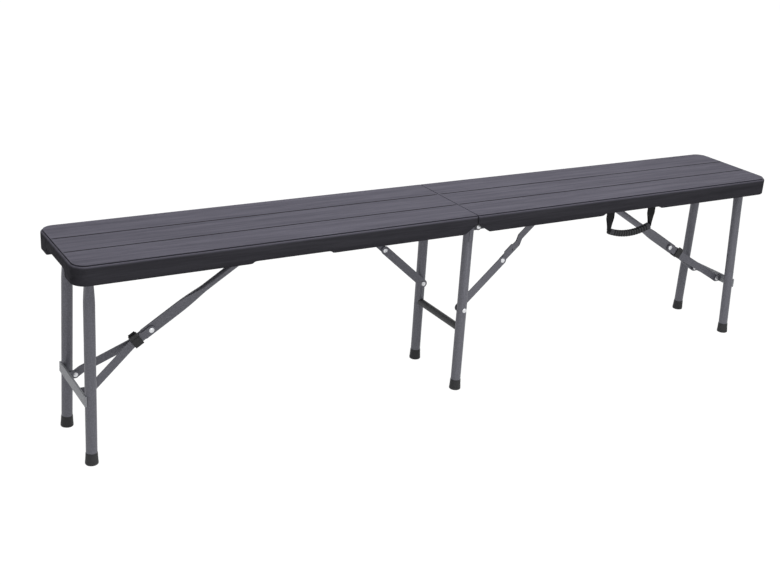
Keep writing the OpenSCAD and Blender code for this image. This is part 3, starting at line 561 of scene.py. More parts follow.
def finish_of(kind):
    """One of the materials of the bench by its short name, made once."""
    scene = bpy.context.scene
    seat, steel, trim = scene.bench_seat, scene.bench_steel, scene.bench_trim
    if kind not in FINISHES:
        FINISHES[kind] = {
            "seat": lambda: moulded_seat(
                "embossed_seat_plastic", *map(shade, (seat.plank_colour, seat.groove_shade_colour, seat.wall_shade_colour))
            ),
            # The underside in the darker wall colour, as painted shade.
            "hollow": lambda: moulded_black("hollow_side_plastic", shade(seat.wall_shade_colour), 0.6, 700.0),
            "tube": lambda: hammered_paint("hammered_grey_paint", shade(steel.tube_colour)),
            "bar": lambda: hammered_paint("pale_bar_paint", shade(steel.bar_colour), 0.0002, 0.42),
            "rail": lambda: hammered_paint("dark_rail_paint", shade(steel.rail_colour)),
            "under": lambda: hammered_paint("dark_crossbar_paint", shade(steel.under_colour)),
            "zinc": lambda: zinc_plate("zinc_plate", shade(steel.plate_colour)),
            "cap": lambda: moulded_black("foot_cap_plastic", shade(trim.cap_colour), 0.6),
            "lock": lambda: moulded_black("lock_plastic", shade(trim.lock_colour), 0.45),
            "strap": lambda: webbing("black_webbing", shade(trim.strap_colour)),
            "grip": lambda: ribbed_rubber(
                "ribbed_rubber", *map(shade, (trim.grip_colour, trim.grip_groove_shade_colour))
            ),
        }[kind]()
    return FINISHES[kind]


# ---------- Seat ----------


class SeatPlan:
    """Sizes of one seat half, read from its solid, in metres from the seam outwards."""

    def __init__(self, look):
        node_low, node_high = low("seat_right"), high("seat_right")
        self.skin = look.skin
        self.seam_x, self.end_x = node_low[0], node_high[0]
        self.half_w = node_high[1]
        self.top_z = node_high[2] + look.skin
        self.foot_z = node_low[2]
        self.lip_z = node_high[2] - 19.0 * MM
        self.tread_in = 4.5 * MM
        self.edge_r = 0.6 * MM
        self.tread_rise = 2.6 * MM
        self.shoulder = 4.0 * MM
        self.hem = 3.0 * MM
        self.corner = 30.0 * MM
        self.seam_corner = 4.0 * MM
        self.least_corner = 0.8 * MM
        self.inset = self.tread_in - self.skin + self.edge_r
        self.seam_inset = self.edge_r - self.skin
        self.plank = (2.0 * self.half_w - 2.0 * self.tread_in) / 3.0
        self.groove_half = 1.5 * MM
        self.groove_deep = 1.5 * MM
        self.bevel_run = 33.0 * MM
        self.seam_turn = np.linspace(0.0, math.pi / 2.0, 6)
        self.end_turn = np.linspace(0.0, math.pi / 2.0, 15)[1:]
        self.straight = np.concatenate([
            self.seam_x + np.array([5.0, 7.0, 8.5, 9.5, 10.5, 11.5, 13.0]) * MM,
            np.linspace(self.seam_x + 16.0 * MM, self.end_x - self.corner, 190),
        ])

    def column(self, inset, seam_inset):
        """Columns of x and half width: a quarter circle at the seam, a straight run, a quarter circle at the end.

        The end's circle keeps its centre, and the seam's circle shrinks with the inset."""
        first, last = len(self.seam_turn), len(self.seam_turn) + len(self.straight)
        count = last + len(self.end_turn)
        inset = np.broadcast_to(inset, (count,))
        seam_inset = np.broadcast_to(seam_inset, (count,))
        small = np.maximum(self.seam_corner - inset[:first], self.least_corner)
        large = self.corner - inset[last:]
        x = np.concatenate([
            self.seam_x + seam_inset[:first] + small * (1.0 - np.cos(self.seam_turn)),
            self.straight,
            self.end_x - self.corner + large * np.sin(self.end_turn),
        ])
        width = np.concatenate([
            self.half_w - inset[:first] - small * (1.0 - np.sin(self.seam_turn)),
            self.half_w - inset[first:last],
            self.half_w - self.corner + large * np.cos(self.end_turn),
        ])
        return x, width

    def loop(self, inset, seam_inset, end_y, seam_share):
        """One closed path: along the rear, across the end, back along the front and across the seam.

        Each point has its own inset. seam_share counts the seam's points from -1 to 1."""
        count = len(self.seam_turn) + len(self.straight) + len(self.end_turn)
        total = 2 * count + len(end_y) + len(seam_share)
        inset = np.broadcast_to(inset, (total,))
        seam_inset = np.broadcast_to(seam_inset, (total,))
        cuts = np.cumsum([count, len(end_y), count])
        rear, end, front, seam = np.split(inset, cuts)
        rear_in, _, front_in, seam_in = np.split(seam_inset, cuts)
        rear_x, rear_w = self.column(rear, rear_in)
        front_x, front_w = self.column(front[::-1], front_in[::-1])
        seam_half = self.half_w - seam - np.maximum(self.seam_corner - seam, self.least_corner)
        x = np.concatenate([rear_x, self.end_x - end, front_x[::-1], self.seam_x + seam_in])
        y = np.concatenate([rear_w, end_y, -front_w[::-1], seam_share * seam_half])
        return x, y


def grain_height(x, y, plan, pitch, seed):
    """Embossed wood: rings round long ellipses, one set a plank, bent by slow waves. 0 to 1."""
    rng = np.random.default_rng(seed)
    height = np.zeros_like(x)
    for row in range(3):
        middle = (row - 1) * plan.plank
        inside = np.abs(y - middle) < plan.plank / 2.0
        yc = middle + rng.uniform(-0.018, 0.018)
        xc = rng.uniform(0.15, 0.8)
        bend = np.zeros_like(x)
        for wave in range(6):
            kx, ky = rng.uniform(3.0, 26.0), rng.uniform(10.0, 60.0)
            bend += rng.uniform(0.25, 1.0) / (1.0 + wave) * np.sin(kx * x + ky * y + rng.uniform(0.0, 6.3))
        reach = np.sqrt((y - yc) ** 2 + ((x - xc) / 14.0) ** 2)
        rings = reach / pitch * 2.0 * math.pi + 1.3 * bend
        ridge = (0.5 + 0.5 * np.sin(rings)) ** 2
        fade = 0.55 + 0.45 * np.sin(2.2 * x + 31.0 * y + rng.uniform(0.0, 6.3))
        height = np.where(inside, ridge * fade, height)
    return height


def cut_height(x, y, side, plan):
    """How far the foot of the skin is raised along the rim: by the end arch, the hand notch or the seam bevel."""
    arch_half, arch_high, arch_r = 66.0 * MM, 17.0 * MM, 10.0 * MM
    over = np.clip((np.abs(y) - (arch_half - arch_r)) / arch_r, 0.0, 1.0)
    arch = arch_high - arch_r + arch_r * np.sqrt(np.maximum(0.0, 1.0 - over ** 2))
    raised = np.where((side == 1) & (np.abs(y) < arch_half), arch, 0.0)
    notch_x, notch_half, slope, deep = 450.0 * MM, 92.5 * MM, 8.0 * MM, 5.5 * MM
    notch = deep * np.clip((notch_half - np.abs(x - notch_x)) / slope, 0.0, 1.0)
    raised = np.where(side == 2, np.maximum(raised, notch), raised)
    run = np.clip((plan.seam_x + plan.bevel_run - x) / (plan.bevel_run - 1.0 * MM), 0.0, 1.0)
    return np.maximum(raised, (plan.lip_z - plan.foot_z) * run)


def seat_deck(plan, look, seed):
    """The tread of one half: a height over a grid of x and y. Flat planks with soft edges, V grooves and grain. It
    also returns a painted shadow along each groove.
    """
    x, width = plan.column(plan.inset, plan.seam_inset)
    half = plan.half_w - plan.inset
    lines = [np.linspace(-half, half, 118)]
    one_side = [0.3, 0.7, 1.1, 1.5, 1.9, 2.4]
    across_groove = np.array([*(-place for place in one_side[::-1]), 0.0, *one_side])
    for centre in (-plan.plank / 2.0, plan.plank / 2.0):
        lines.append(centre + across_groove * MM)
    lines.append([-half + 0.5 * MM, half - 0.5 * MM])
    ys = np.unique(np.round(np.concatenate(lines), 6))
    ys[0], ys[-1] = -half, half
    keep = 60.0 * MM
    outer = keep + (np.abs(ys)[None, :] - keep) * ((width - keep) / (half - keep))[:, None]
    grid_y = np.where(np.abs(ys)[None, :] > keep, np.sign(ys)[None, :] * outer, ys[None, :])
    grid_x = np.broadcast_to(x[:, None], grid_y.shape)
    near = np.minimum(np.abs(grid_y - plan.plank / 2.0), np.abs(grid_y + plan.plank / 2.0))
    ends = smoothstep((grid_x - plan.seam_x - 8.0 * MM) / (3.0 * MM))
    ends = ends * smoothstep((plan.end_x - 9.0 * MM - grid_x) / (3.0 * MM))
    groove = np.clip(1.0 - near / plan.groove_half, 0.0, 1.0) * ends
    soft = np.clip(1.0 - near / (plan.groove_half + 0.9 * MM), 0.0, 1.0) ** 3 * ends
    rim = np.minimum(width[:, None] - np.abs(grid_y), plan.end_x - plan.inset - grid_x)
    grain = grain_height(grid_x, grid_y, plan, look.ring_pitch, seed)
    calm = smoothstep(rim / (3.0 * MM)) * smoothstep((near - plan.groove_half) / (2.0 * MM))
    calm = calm * smoothstep((grid_x - x[0]) / (3.0 * MM))
    z = plan.top_z - plan.groove_deep * groove - 0.12 * MM * soft + look.grain_depth * (grain - 0.5) * calm
    z = np.maximum(z, plan.top_z - plan.groove_deep)
    line_ends = smoothstep((grid_x - plan.seam_x - 1.5 * MM) / (2.0 * MM))
    line_ends = line_ends * smoothstep((plan.end_x - 5.5 * MM - grid_x) / (2.0 * MM))
    # Painted shadow along each groove. It is wider than the cut and runs nearer the ends, where the solid below
    # has no groove.
    shadow = np.clip(1.6 * (1.0 - near / (plan.groove_half + 1.3 * MM)), 0.0, 1.0) * line_ends
    return np.stack([grid_x, grid_y, z], axis=-1), shadow


def seat_rim(plan, end_y, seam_share):
    """The skin outside the tread: rings of inset and height carried round the half, with marks of painted shade
    for the step and the walls.

    From the tread's edge it drops a step, rounds the shoulder, runs down the wall and turns under the hem. Along
    the seam the rings lie straight under each other, so that the tread runs on to the seam."""
    x, y = plan.loop(0.0, 0.0, end_y, seam_share)
    count = (len(x) - len(end_y) - len(seam_share)) // 2
    side = np.repeat([0, 1, 2, 3], [count, len(end_y), count, len(seam_share)])
    raised = cut_height(x, y, side, plan)
    foot = plan.foot_z + raised
    hem = np.where(raised > 0.2 * MM, 0.5 * MM, plan.hem)
    skin, top = plan.skin, plan.top_z
    ledge = top - plan.tread_rise
    tread = plan.tread_in - skin
    reach = plan.shoulder + skin
    # Each ring holds its inset at the sides, its inset at the seam, its height, painted shade towards the groove
    # colour, and painted shade towards the darker wall colour.
    rings = [(plan.inset, plan.seam_inset, top, 0.0, 0.0)]
    # A faint painted shade on the rounded edge of the tread.
    for t in np.linspace(0.25, 1.0, 4) * math.pi / 2.0:
        step = plan.edge_r * (1.0 - math.sin(t))
        rings.append((tread + step, step - skin, top - plan.edge_r * (1.0 - math.cos(t)), 0.15, 0.0))
    # Painted shade: a dark line at the foot of the step.
    rings.append((tread, -skin, ledge + 0.5 * MM, 0.9, 0.5))
    rings.append((tread - 0.12 * MM, -skin, ledge + 0.08 * MM, 1.0, 0.5))
    # Painted shade fades down the upper shoulder. The lower shoulder takes the darker wall colour as painted
    # shade.
    for t in np.linspace(0.0, 1.0, 8) * math.pi / 2.0:
        shoulder_shade, wall = max(0.0, 0.6 - 3.0 * t), max(0.0, t - 0.5) / (math.pi / 2.0 - 0.5)
        rings.append((plan.shoulder - reach * math.sin(t), -skin, ledge - reach + reach * math.cos(t), shoulder_shade, wall))
    top_of_wall = ledge - reach
    for share in (0.33, 0.66, 1.0):
        rings.append((-skin, -skin, top_of_wall + (foot + hem - top_of_wall) * share, 0.0, 1.0))
    for t in np.linspace(0.25, 1.0, 4) * math.pi / 2.0:
        under = hem - (hem + skin) * math.cos(t)
        rings.append((under, under, foot + hem - (hem + skin) * math.sin(t), 0.0, 1.0))
    rings.append((hem + 1.5 * MM, hem + 1.5 * MM, foot - skin, 0.0, 1.0))
    rings.append((hem + 1.8 * MM, hem + 1.8 * MM, foot + 0.6 * MM, 0.0, 1.0))
    points, steps, walls = [], [], []
    for inset, seam_inset, height, step, wall in rings:
        ring_x, ring_y = plan.loop(inset, seam_inset, end_y, seam_share)
        points.append(np.stack([ring_x, ring_y, np.broadcast_to(height, ring_x.shape)], axis=-1))
        steps.append(np.where(side == 3, 0.0, step))
        walls.append(np.where(side == 3, float(len(points) > 3), wall))
    return np.array(points), np.array(steps), np.array(walls)


class BENCH_OT_seat(bpy.types.Operator):
    """Makes the embossed skin of both seat halves and paints the solids under it"""

    bl_idname = "bench.seat"
    bl_label = "Seat Halves"

    def execute(self, context):
        look = context.scene.bench_seat
        plan = SeatPlan(look)
        for (end, sign), seed in zip(ENDS, (5, 11)):
            deck, groove = seat_deck(plan, look, seed)
            seam_share = deck[0, 1:-1, 1] / deck[0, -1, 1]
            rings, steps, walls = seat_rim(plan, deck[-1, ::-1, 1][1:-1], seam_share)
            points = np.concatenate([deck.reshape(-1, 3), rings.reshape(-1, 3)]) * (sign, 1.0, 1.0)
            faces = [grid_faces(*deck.shape[:2]), grid_faces(*rings.shape[:2], wrap_cols=True) + groove.size]
            # The groove mark carries painted shade for the grooves and the step. The wall mark carries painted
            # shade for the darker walls.
            marks = {
                "groove": np.concatenate([groove.ravel(), steps.ravel()]),
                "wall": np.concatenate([np.zeros(groove.size), walls.ravel()]),
            }
            skin = add_piece(
                f"seat_skin_{end}", points, faces, f"{end}_half", finish_of("seat"),
                marks=marks, outward=False,
            )
            shell = bmesh.new()
            shell.from_mesh(skin.data)
            bmesh.ops.remove_doubles(shell, verts=shell.verts, dist=2e-5)
            bmesh.ops.recalc_face_normals(shell, faces=shell.faces)
            highest = max(shell.faces, key=lambda face: face.calc_center_median().z)
            if highest.normal.z < 0.0:
                bmesh.ops.reverse_faces(shell, faces=shell.faces)
            shell.to_mesh(skin.data)
            shell.free()
            skin.data.set_sharp_from_angle(angle=math.radians(38.0))
            paint(f"seat_{end}", finish_of("hollow"))
        return {"FINISHED"}


def paint(node, finish):
    """Gives a CAD node a finish in place of its own materials."""
    piece = NODES[node]
    piece.data.materials.clear()
    piece.data.materials.append(finish)


# ---------- Tubes ----------

LEG_R = 11.5 * MM
LEG_SPLAY = 16.0 * MM
LEG_LEAN = 12.0 * MM
EYE_HALF_DEPTH = 6.0 * MM
EYE_HALF_WIDTH = 13.0 * MM
NECK = 76.0 * MM
CAP_R = 13.0 * MM
SOFT_PARTS = (
    ("brace_anchor", "rail", "dark_paint", 0.3),
    ("crossbar", "bar", "light_paint", 0.6),
    ("fork_brackets", "tube", "grey_paint", 0.3),
    ("lower_link", "tube", "grey_paint", 0.4),
    ("upper_link", "tube", "grey_paint", 0.4),
)


def pressed_leg(shell, axle, foot):
    """A round tube from the foot up, pressed flat near the axle.

    Distances run down the straight line from axle to foot. The section is a squircle, and its half sizes and power
    blend from flat to round over the neck."""
    length = np.linalg.norm(foot - axle)
    down = (foot - axle) / length
    across = np.array(ACROSS) - down * down[1]
    across /= np.linalg.norm(across)
    out = np.cross(across, down)
    along = np.concatenate([
        np.array([-8.0, -7.6, -6.8, -5.4]) * MM, np.linspace(-3.0 * MM, 80.0 * MM, 42),
        np.linspace(90.0 * MM, length - 4.0 * MM, 12),
    ])
    flat = 1.0 - smoothstep((along + 4.0 * MM) / NECK)
    close = 1.0 - 0.18 * np.clip(-(along + 5.4 * MM) / (2.6 * MM), 0.0, 1.0) ** 2
    half_a = LEG_R + (EYE_HALF_DEPTH - LEG_R) * flat
    half_b = LEG_R + (EYE_HALF_WIDTH - LEG_R) * flat
    a, b = squircle(half_a * close, half_b * close, 2.0 + 1.6 * flat, 48)
    shell.tube(axle + along[:, None, None] * down + a[..., None] * out + b[..., None] * across)


def leg_line(end, sign, side):
    """The two ends of an end leg's middle line: on its axle and on the floor."""
    axle = pivot(f"{end}_leg_fold")
    foot_y = high(f"foot_caps_{end}")[1] - CAP_R
    top = np.array([axle[0], side * (foot_y - LEG_SPLAY), axle[2]])
    return top, np.array([axle[0] + sign * LEG_LEAN, side * foot_y, 0.0])


class BENCH_OT_legs(bpy.types.Operator):
    """Makes the pressed tubes of the end legs and paints the centre frame"""

    bl_idname = "bench.legs"
    bl_label = "Legs"

    def execute(self, context):
        steel = finish_of("tube")
        for end, sign in ENDS:
            for row, side in ROWS:
                shell = Shell()
                pressed_leg(shell, *leg_line(end, sign, side))
                node = f"leg_{end}_{row}"
                shell.piece(f"{node}_tube", f"{end}_leg", "grey_paint", steel, (node,), 50.0)
                soft_copy(f"rail_{end}_{row}", finish_of("rail"), 0.4 * MM)
            for part, kind, slot, radius in SOFT_PARTS:
                soft_copy(f"{part}_{end}", finish_of(kind), radius * MM)
        for row, _ in ROWS:
            soft_copy(f"centre_leg_{row}", steel, 0.3 * MM)
            soft_copy(f"hinge_plate_{row}", steel, 0.5 * MM)
        soft_copy("centre_crossbar", finish_of("under"), 0.0)
        return {"FINISHED"}


class BENCH_OT_braces(bpy.types.Operator):
    """Makes the pressed brace tubes, the forks and the locks"""

    bl_idname = "bench.braces"
    bl_label = "End Braces"

    def execute(self, context):
        steel = finish_of("tube")
        for end, sign in ENDS:
            node = f"brace_tube_{end}"
            anchor = pivot(f"{end}_brace_fold")
            pin = pivot(f"{end}_fork_fold")
            run = (pin - anchor) / np.linalg.norm(pin - anchor)
            up = np.array([-run[2] * sign, 0.0, run[0] * sign])
            reach = float(np.dot(middle_of(f"knuckle_rivet_{end}") - anchor, run))
            x, half_z, half_y, power = brace_sections(reach)
            a, b = squircle(half_z, half_y, power, 56)
            shell = Shell()
            shell.tube(anchor + x[:, None, None] * run + a[..., None] * up + b[..., None] * np.array(ACROSS))
            shell.piece(f"{node}_pressed", f"{end}_brace", "grey_paint", steel, (node,), 35.0)
            soft_copy(f"fork_{end}", steel, 0.45 * MM)
            for part in (f"lock_slider_{end}", f"lock_sleeves_{end}"):
                soft_copy(part, finish_of("lock"), 0.4 * MM)
        return {"FINISHED"}


def brace_sections(reach):
    """Half height, half thickness and power of the section along the brace, to the knuckle's reach and past it.

    It runs through a flat eye, a neck, the round tube, a second neck, the tongue, a shoulder and the tail."""
    eye, thick, wide, round_r, tail = 10.5 * MM, 2.5 * MM, 12.5 * MM, 8.0 * MM, 8.0 * MM
    fillet = 3.0 * MM
    tongue = reach - 72.0 * MM
    shoulder = reach + 20.0 * MM
    tip = reach + 47.0 * MM
    turn = np.linspace(0.0, math.pi / 2.0, 10)
    x = np.concatenate([
        -eye * np.cos(turn) * 0.999, np.linspace(1.0 * MM, 14.0 * MM, 4), np.linspace(16.0 * MM, 46.0 * MM, 22),
        np.linspace(60.0 * MM, tongue - 80.0 * MM, 6), np.linspace(tongue - 72.0 * MM, tongue + 4.0 * MM, 34),
        np.linspace(tongue + 12.0 * MM, shoulder - 3.2 * MM, 8), shoulder - fillet + fillet * np.sin(turn),
        np.linspace(shoulder + 0.3 * MM, tip - 1.0 * MM, 5), [tip - 0.3 * MM, tip],
    ])
    swells = smoothstep((x - 14.0 * MM) / (26.0 * MM))
    round_share = swells * (1.0 - smoothstep((x - (tongue - 70.0 * MM)) / (72.0 * MM)))
    eye_half = np.where(x < 0.0, np.sqrt(np.maximum(0.0, eye ** 2 - x ** 2)), eye)
    flat_half = np.where(x < reach / 2.0, eye_half, wide)
    corner = np.clip((x - (shoulder - fillet)) / fillet, 0.0, 1.0)
    rounded = wide - fillet + fillet * np.sqrt(np.maximum(0.0, 1.0 - corner ** 2))
    flat_half = np.where(corner > 0.0, rounded, flat_half)
    flat_half = np.where(x > shoulder, tail, flat_half)
    flat_half = np.where(x > tip - 0.5 * MM, tail - 0.8 * MM * (x - tip + 0.5 * MM) / (0.5 * MM), flat_half)
    half_z = flat_half + (round_r - flat_half) * round_share
    half_y = thick + (round_r - thick) * round_share
    power = 7.0 - 5.0 * round_share
    return x, np.maximum(half_z, 0.2 * MM), half_y, power


# ---------- Rivets, pins and screws ----------

PIN_SIDES = 40
RIVETS = {
    "hinge_rivets": (4.0, 5.5, 1.6, 2.4, True),
    "leg_rivets": (3.0, 5.5, 2.0, 2.0, False),
    "fork_pins_left": (3.0, 5.0, 1.8, 2.2, False),
    "fork_pins_right": (3.0, 5.0, 1.8, 2.2, False),
    "lower_rivet_left": (3.0, 5.5, 2.0, 0.0, False),
    "lower_rivet_right": (3.0, 5.5, 0.0, 2.0, False),
    "upper_rivet_left": (3.0, 5.0, 0.0, 1.8, False),
    "upper_rivet_right": (3.0, 5.0, 1.8, 0.0, False),
    "handle_screws": (2.0, 5.0, 1.2, 0.0, True),
}
THROUGH_PINS = {
    "axle_left": (4.0, 6.0, 2.2), "axle_right": (4.0, 6.0, 2.2),
    "anchor_pin_left": (4.0, 6.0, 2.5), "anchor_pin_right": (4.0, 6.0, 2.5),
}


def pin_profile(y0, y1, shank, head, low_height, high_height):
    """Distance along Y and radius of a pin from tip to tip, with a domed head at each end that has a height."""
    profile = list(domed(y0 + low_height, -1.0, head, low_height)[::-1]) if low_height else [(y0, 0.0)]
    profile += [(y0 + low_height, shank), (y1 - high_height, shank)]
    return profile + (list(domed(y1 - high_height, 1.0, head, high_height)) if high_height else [(y1, 0.0)])


def rivet_set(node, shank, head, inner, outer, pairs):
    """Turned pins in place of a node's: one in each row that it has, or two side by side where pairs is set.

    inner and outer are the heights of the heads that face the middle plane and away from it, in millimetres."""
    points = node_points(node)
    middle = (points[:, 0].min() + points[:, 0].max()) / 2.0
    shell = Shell()
    for side in (-1.0, 1.0):
        for across in (-1.0, 1.0) if pairs else (0.0,):
            own = points[(points[:, 1] * side > 0.0) & ((points[:, 0] - middle) * across >= 0.0)]
            if not len(own):
                continue
            centre = (own.min(axis=0) + own.max(axis=0)) / 2.0
            near, far = np.abs(own[:, 1]).min(), np.abs(own[:, 1]).max()
            profile = np.array(pin_profile(near, far, shank * MM, head * MM, inner * MM, outer * MM))
            shell.turned(centre * (1.0, 0.0, 1.0), ACROSS, profile * (side, 1.0), PIN_SIDES)
    if not shell.points:
        raise RuntimeError(f"{node} has no points")
    pin_piece(node, shell)


def pin_piece(node, shell):
    """Turned pins as one zinc piece in place of their node."""
    shell.piece(f"{node}_domed", BODY_OF[node], "zinc", finish_of("zinc"), (node,), 50.0)


class BENCH_OT_rivets(bpy.types.Operator):
    """Makes the domed rivets, pins and screws"""

    bl_idname = "bench.rivets"
    bl_label = "Rivets and Pins"

    def execute(self, context):
        zinc = finish_of("zinc")
        for node, sizes in RIVETS.items():
            rivet_set(node, *sizes)
        for node, (shank, head, height) in THROUGH_PINS.items():
            shell = Shell()
            profile = pin_profile(low(node)[1], high(node)[1], shank * MM, head * MM, height * MM, height * MM)
            shell.turned(middle_of(node) * (1.0, 0.0, 1.0), ACROSS, profile, PIN_SIDES)
            pin_piece(node, shell)
        root, face, shank, head = 2.9 * MM, 5.9 * MM, 3.5 * MM, 6.0 * MM
        for end, _ in ENDS:
            node = f"knuckle_rivet_{end}"
            shell = Shell()
            for side in (-1.0, 1.0):
                profile = [(side * root, 0.0), (side * root, shank), (side * face, shank)]
                profile += list(domed(side * face, side, head, high(node)[1] - face))
                shell.turned(middle_of(node) * (1.0, 0.0, 1.0), ACROSS, profile, PIN_SIDES)
            pin_piece(node, shell)
            soft_copy(f"rail_screws_{end}", zinc, 0.0)
            soft_copy(f"link_pin_{end}", zinc, 0.0, 50.0)
            soft_copy(f"axle_bushes_{end}", finish_of("lock"), 0.0)
        return {"FINISHED"}


# ---------- Feet ----------


class BENCH_OT_feet(bpy.types.Operator):
    """Makes the moulded foot caps"""

    bl_idname = "bench.feet"
    bl_label = "Foot Caps"

    def execute(self, context):
        upright = np.array([0.0, 0.0, 1.0])
        middle_y = high("foot_caps_centre")[1] - CAP_R
        self.caps("foot_caps_centre", [((0.0, side * middle_y, 0.0), upright) for _, side in ROWS])
        for end, sign in ENDS:
            lines = [leg_line(end, sign, side) for _, side in ROWS]
            self.caps(f"foot_caps_{end}", [(foot, top - foot) for top, foot in lines])
        return {"FINISHED"}

    @staticmethod
    def caps(node, places):
        """Turned cups in line with their tubes, cut level at the floor: rounded sole, slight taper, rolled lip."""
        profile = np.array([
            (-1.2, 0.0), (-1.2, 12.0), (-0.7, 12.8), (0.6, 13.4), (1.8, 13.6), (5.6, 13.45), (6.0, 13.2),
            (6.4, 13.3), (12.0, 12.85), (18.0, 12.5), (23.0, 12.3), (24.2, 12.15), (24.9, 11.95), (25.0, 11.6),
            (24.6, 11.53), (4.2, 11.53), (4.2, 0.0),
        ]) * MM
        shell = Shell()
        for centre, axis in places:
            shell.turned(centre, axis, profile, 56)
            shell.points[-1][:, 2] = np.maximum(shell.points[-1][:, 2], 0.0)
        shell.piece(f"{node}_cups", BODY_OF[node], "black_plastic", finish_of("cap"), (node,), 30.0)


# ---------- Handle ----------

STRAP_W = 24.0 * MM
GRIP_HALF = 7.5 * MM
GRIP_SAG = 12.0 * MM
STRAP_HALF_T = 1.27 * MM

def strap_rings(x, y, top_z):
    """One strap, from its rolled top down to the grip: a squircle of growing depth and shrinking width.

    Down to 17.5 mm it is 24 mm wide and 2.5 mm deep. From there the half sizes run in straight lines to 1.25 mm
    and 6.5 mm at 45 mm, as if the strap turned edge-on. Returns the rings and each point's place along and
    across."""
    roll = np.linspace(0.0, math.pi / 2.0, 6)
    down = np.concatenate([-1.25 * np.cos(roll), np.linspace(1.0, 17.5, 12), np.linspace(18.5, 49.0, 32)]) * MM
    turn = np.clip((down / MM - 17.5) / 27.5, 0.0, 1.0)
    close = np.concatenate([np.maximum(np.sin(roll), 0.12), np.ones(len(down) - len(roll))])
    half_x = (12.0 - 10.75 * turn) * MM
    half_y = (1.25 + 5.25 * turn) * MM * close
    a, b = squircle(half_x, half_y, 5.0, 64)
    rings = np.stack([x + a, y + b, np.broadcast_to((top_z - down)[:, None], a.shape)], axis=-1)
    across = np.where(half_x[:, None] > half_y[:, None], a, b)
    return rings, np.broadcast_to(down[:, None], a.shape), across


def grip_rings(centre, radius, half_angle, pitch):
    """The grip: a rounded square of 15 mm carried along an arc, thinned between ribs and rounded at both ends.

    A rib's height follows the fourth root of a raised cosine, so that ribs are broad and the grooves between them
    narrow. Returns the rings and how deep in a groove each ring lies, from 0 to 1, for painted shade in the
    grooves."""
    reach = radius * half_angle
    along = np.linspace(-1.0, 1.0, 361) * reach
    wave = 0.5 + 0.5 * np.cos(2.0 * math.pi * along / pitch)
    rib = np.clip(wave, 0.0, 1.0) ** 0.25
    to_end = (reach - np.abs(along)) / MM
    ribbed = smoothstep((to_end - 9.0) / 3.0)
    over = np.clip(1.0 - to_end / 1.5, 0.0, 1.0)
    half = GRIP_HALF - 0.9 * MM * (1.0 - rib) * ribbed - 1.5 * MM * (1.0 - np.sqrt(1.0 - over ** 2))
    a, b = squircle(half, half, 3.6, 48)
    bearing = (along / radius)[:, None]
    rings = np.stack([
        centre[0] + (radius + a) * np.sin(bearing),
        centre[1] + b,
        centre[2] - (radius + a) * np.cos(bearing),
    ], axis=-1)
    return rings, np.broadcast_to((np.clip(1.5 * (1.0 - wave), 0.0, 1.0) * ribbed)[:, None], a.shape)


class BENCH_OT_handle(bpy.types.Operator):
    """Makes the webbing straps and the ribbed grip"""

    bl_idname = "bench.handle"
    bl_label = "Handle"

    def execute(self, context):
        webbing_finish = finish_of("strap")
        soft_copy("handle_tabs", webbing_finish, 0.4 * MM)
        swing = pivot("handle_swing")
        lo, hi = low("handle_straps"), high("handle_straps")
        middle = (lo[0] + hi[0]) / 2.0
        span = (hi[0] - lo[0] - STRAP_W) / 2.0
        shell, runs, acrosses = Shell(), [], []
        for side in (-1.0, 1.0):
            rings, run, across = strap_rings(middle + side * span, swing[1], swing[2])
            shell.tube(rings)
            runs.append(run.ravel())
            acrosses.append(across.ravel())
        add_piece(
            "handle_straps_woven", np.concatenate(shell.points), shell.faces, "handle", webbing_finish,
            ("handle_straps",), 50.0, {"run": np.concatenate(runs), "across": np.concatenate(acrosses)},
        )
        half = span - STRAP_HALF_T
        radius = (half * half + GRIP_SAG * GRIP_SAG) / (2.0 * GRIP_SAG)
        centre = (middle, swing[1], low("handle_grip")[2] + GRIP_HALF + radius)
        grip = Shell()
        rings, groove = grip_rings(centre, radius, math.asin(half / radius), context.scene.bench_trim.rib_pitch)
        grip.tube(rings)
        # The groove mark paints shade between the ribs.
        add_piece(
            "handle_grip_ribbed", grip.points[0], grip.faces, "handle", finish_of("grip"),
            ("handle_grip",), 40.0, {"groove": groove.ravel()},
        )
        return {"FINISHED"}


# ---------- Stage ----------

CAMERA_PLACE = (-1.45882, -2.16716, 1.24120)
CAMERA_RIGHT = (0.86474, -0.49870, 0.05947)
CAMERA_UP = (0.13761, 0.34915, 0.92691)
CAMERA_LENS = 54.94


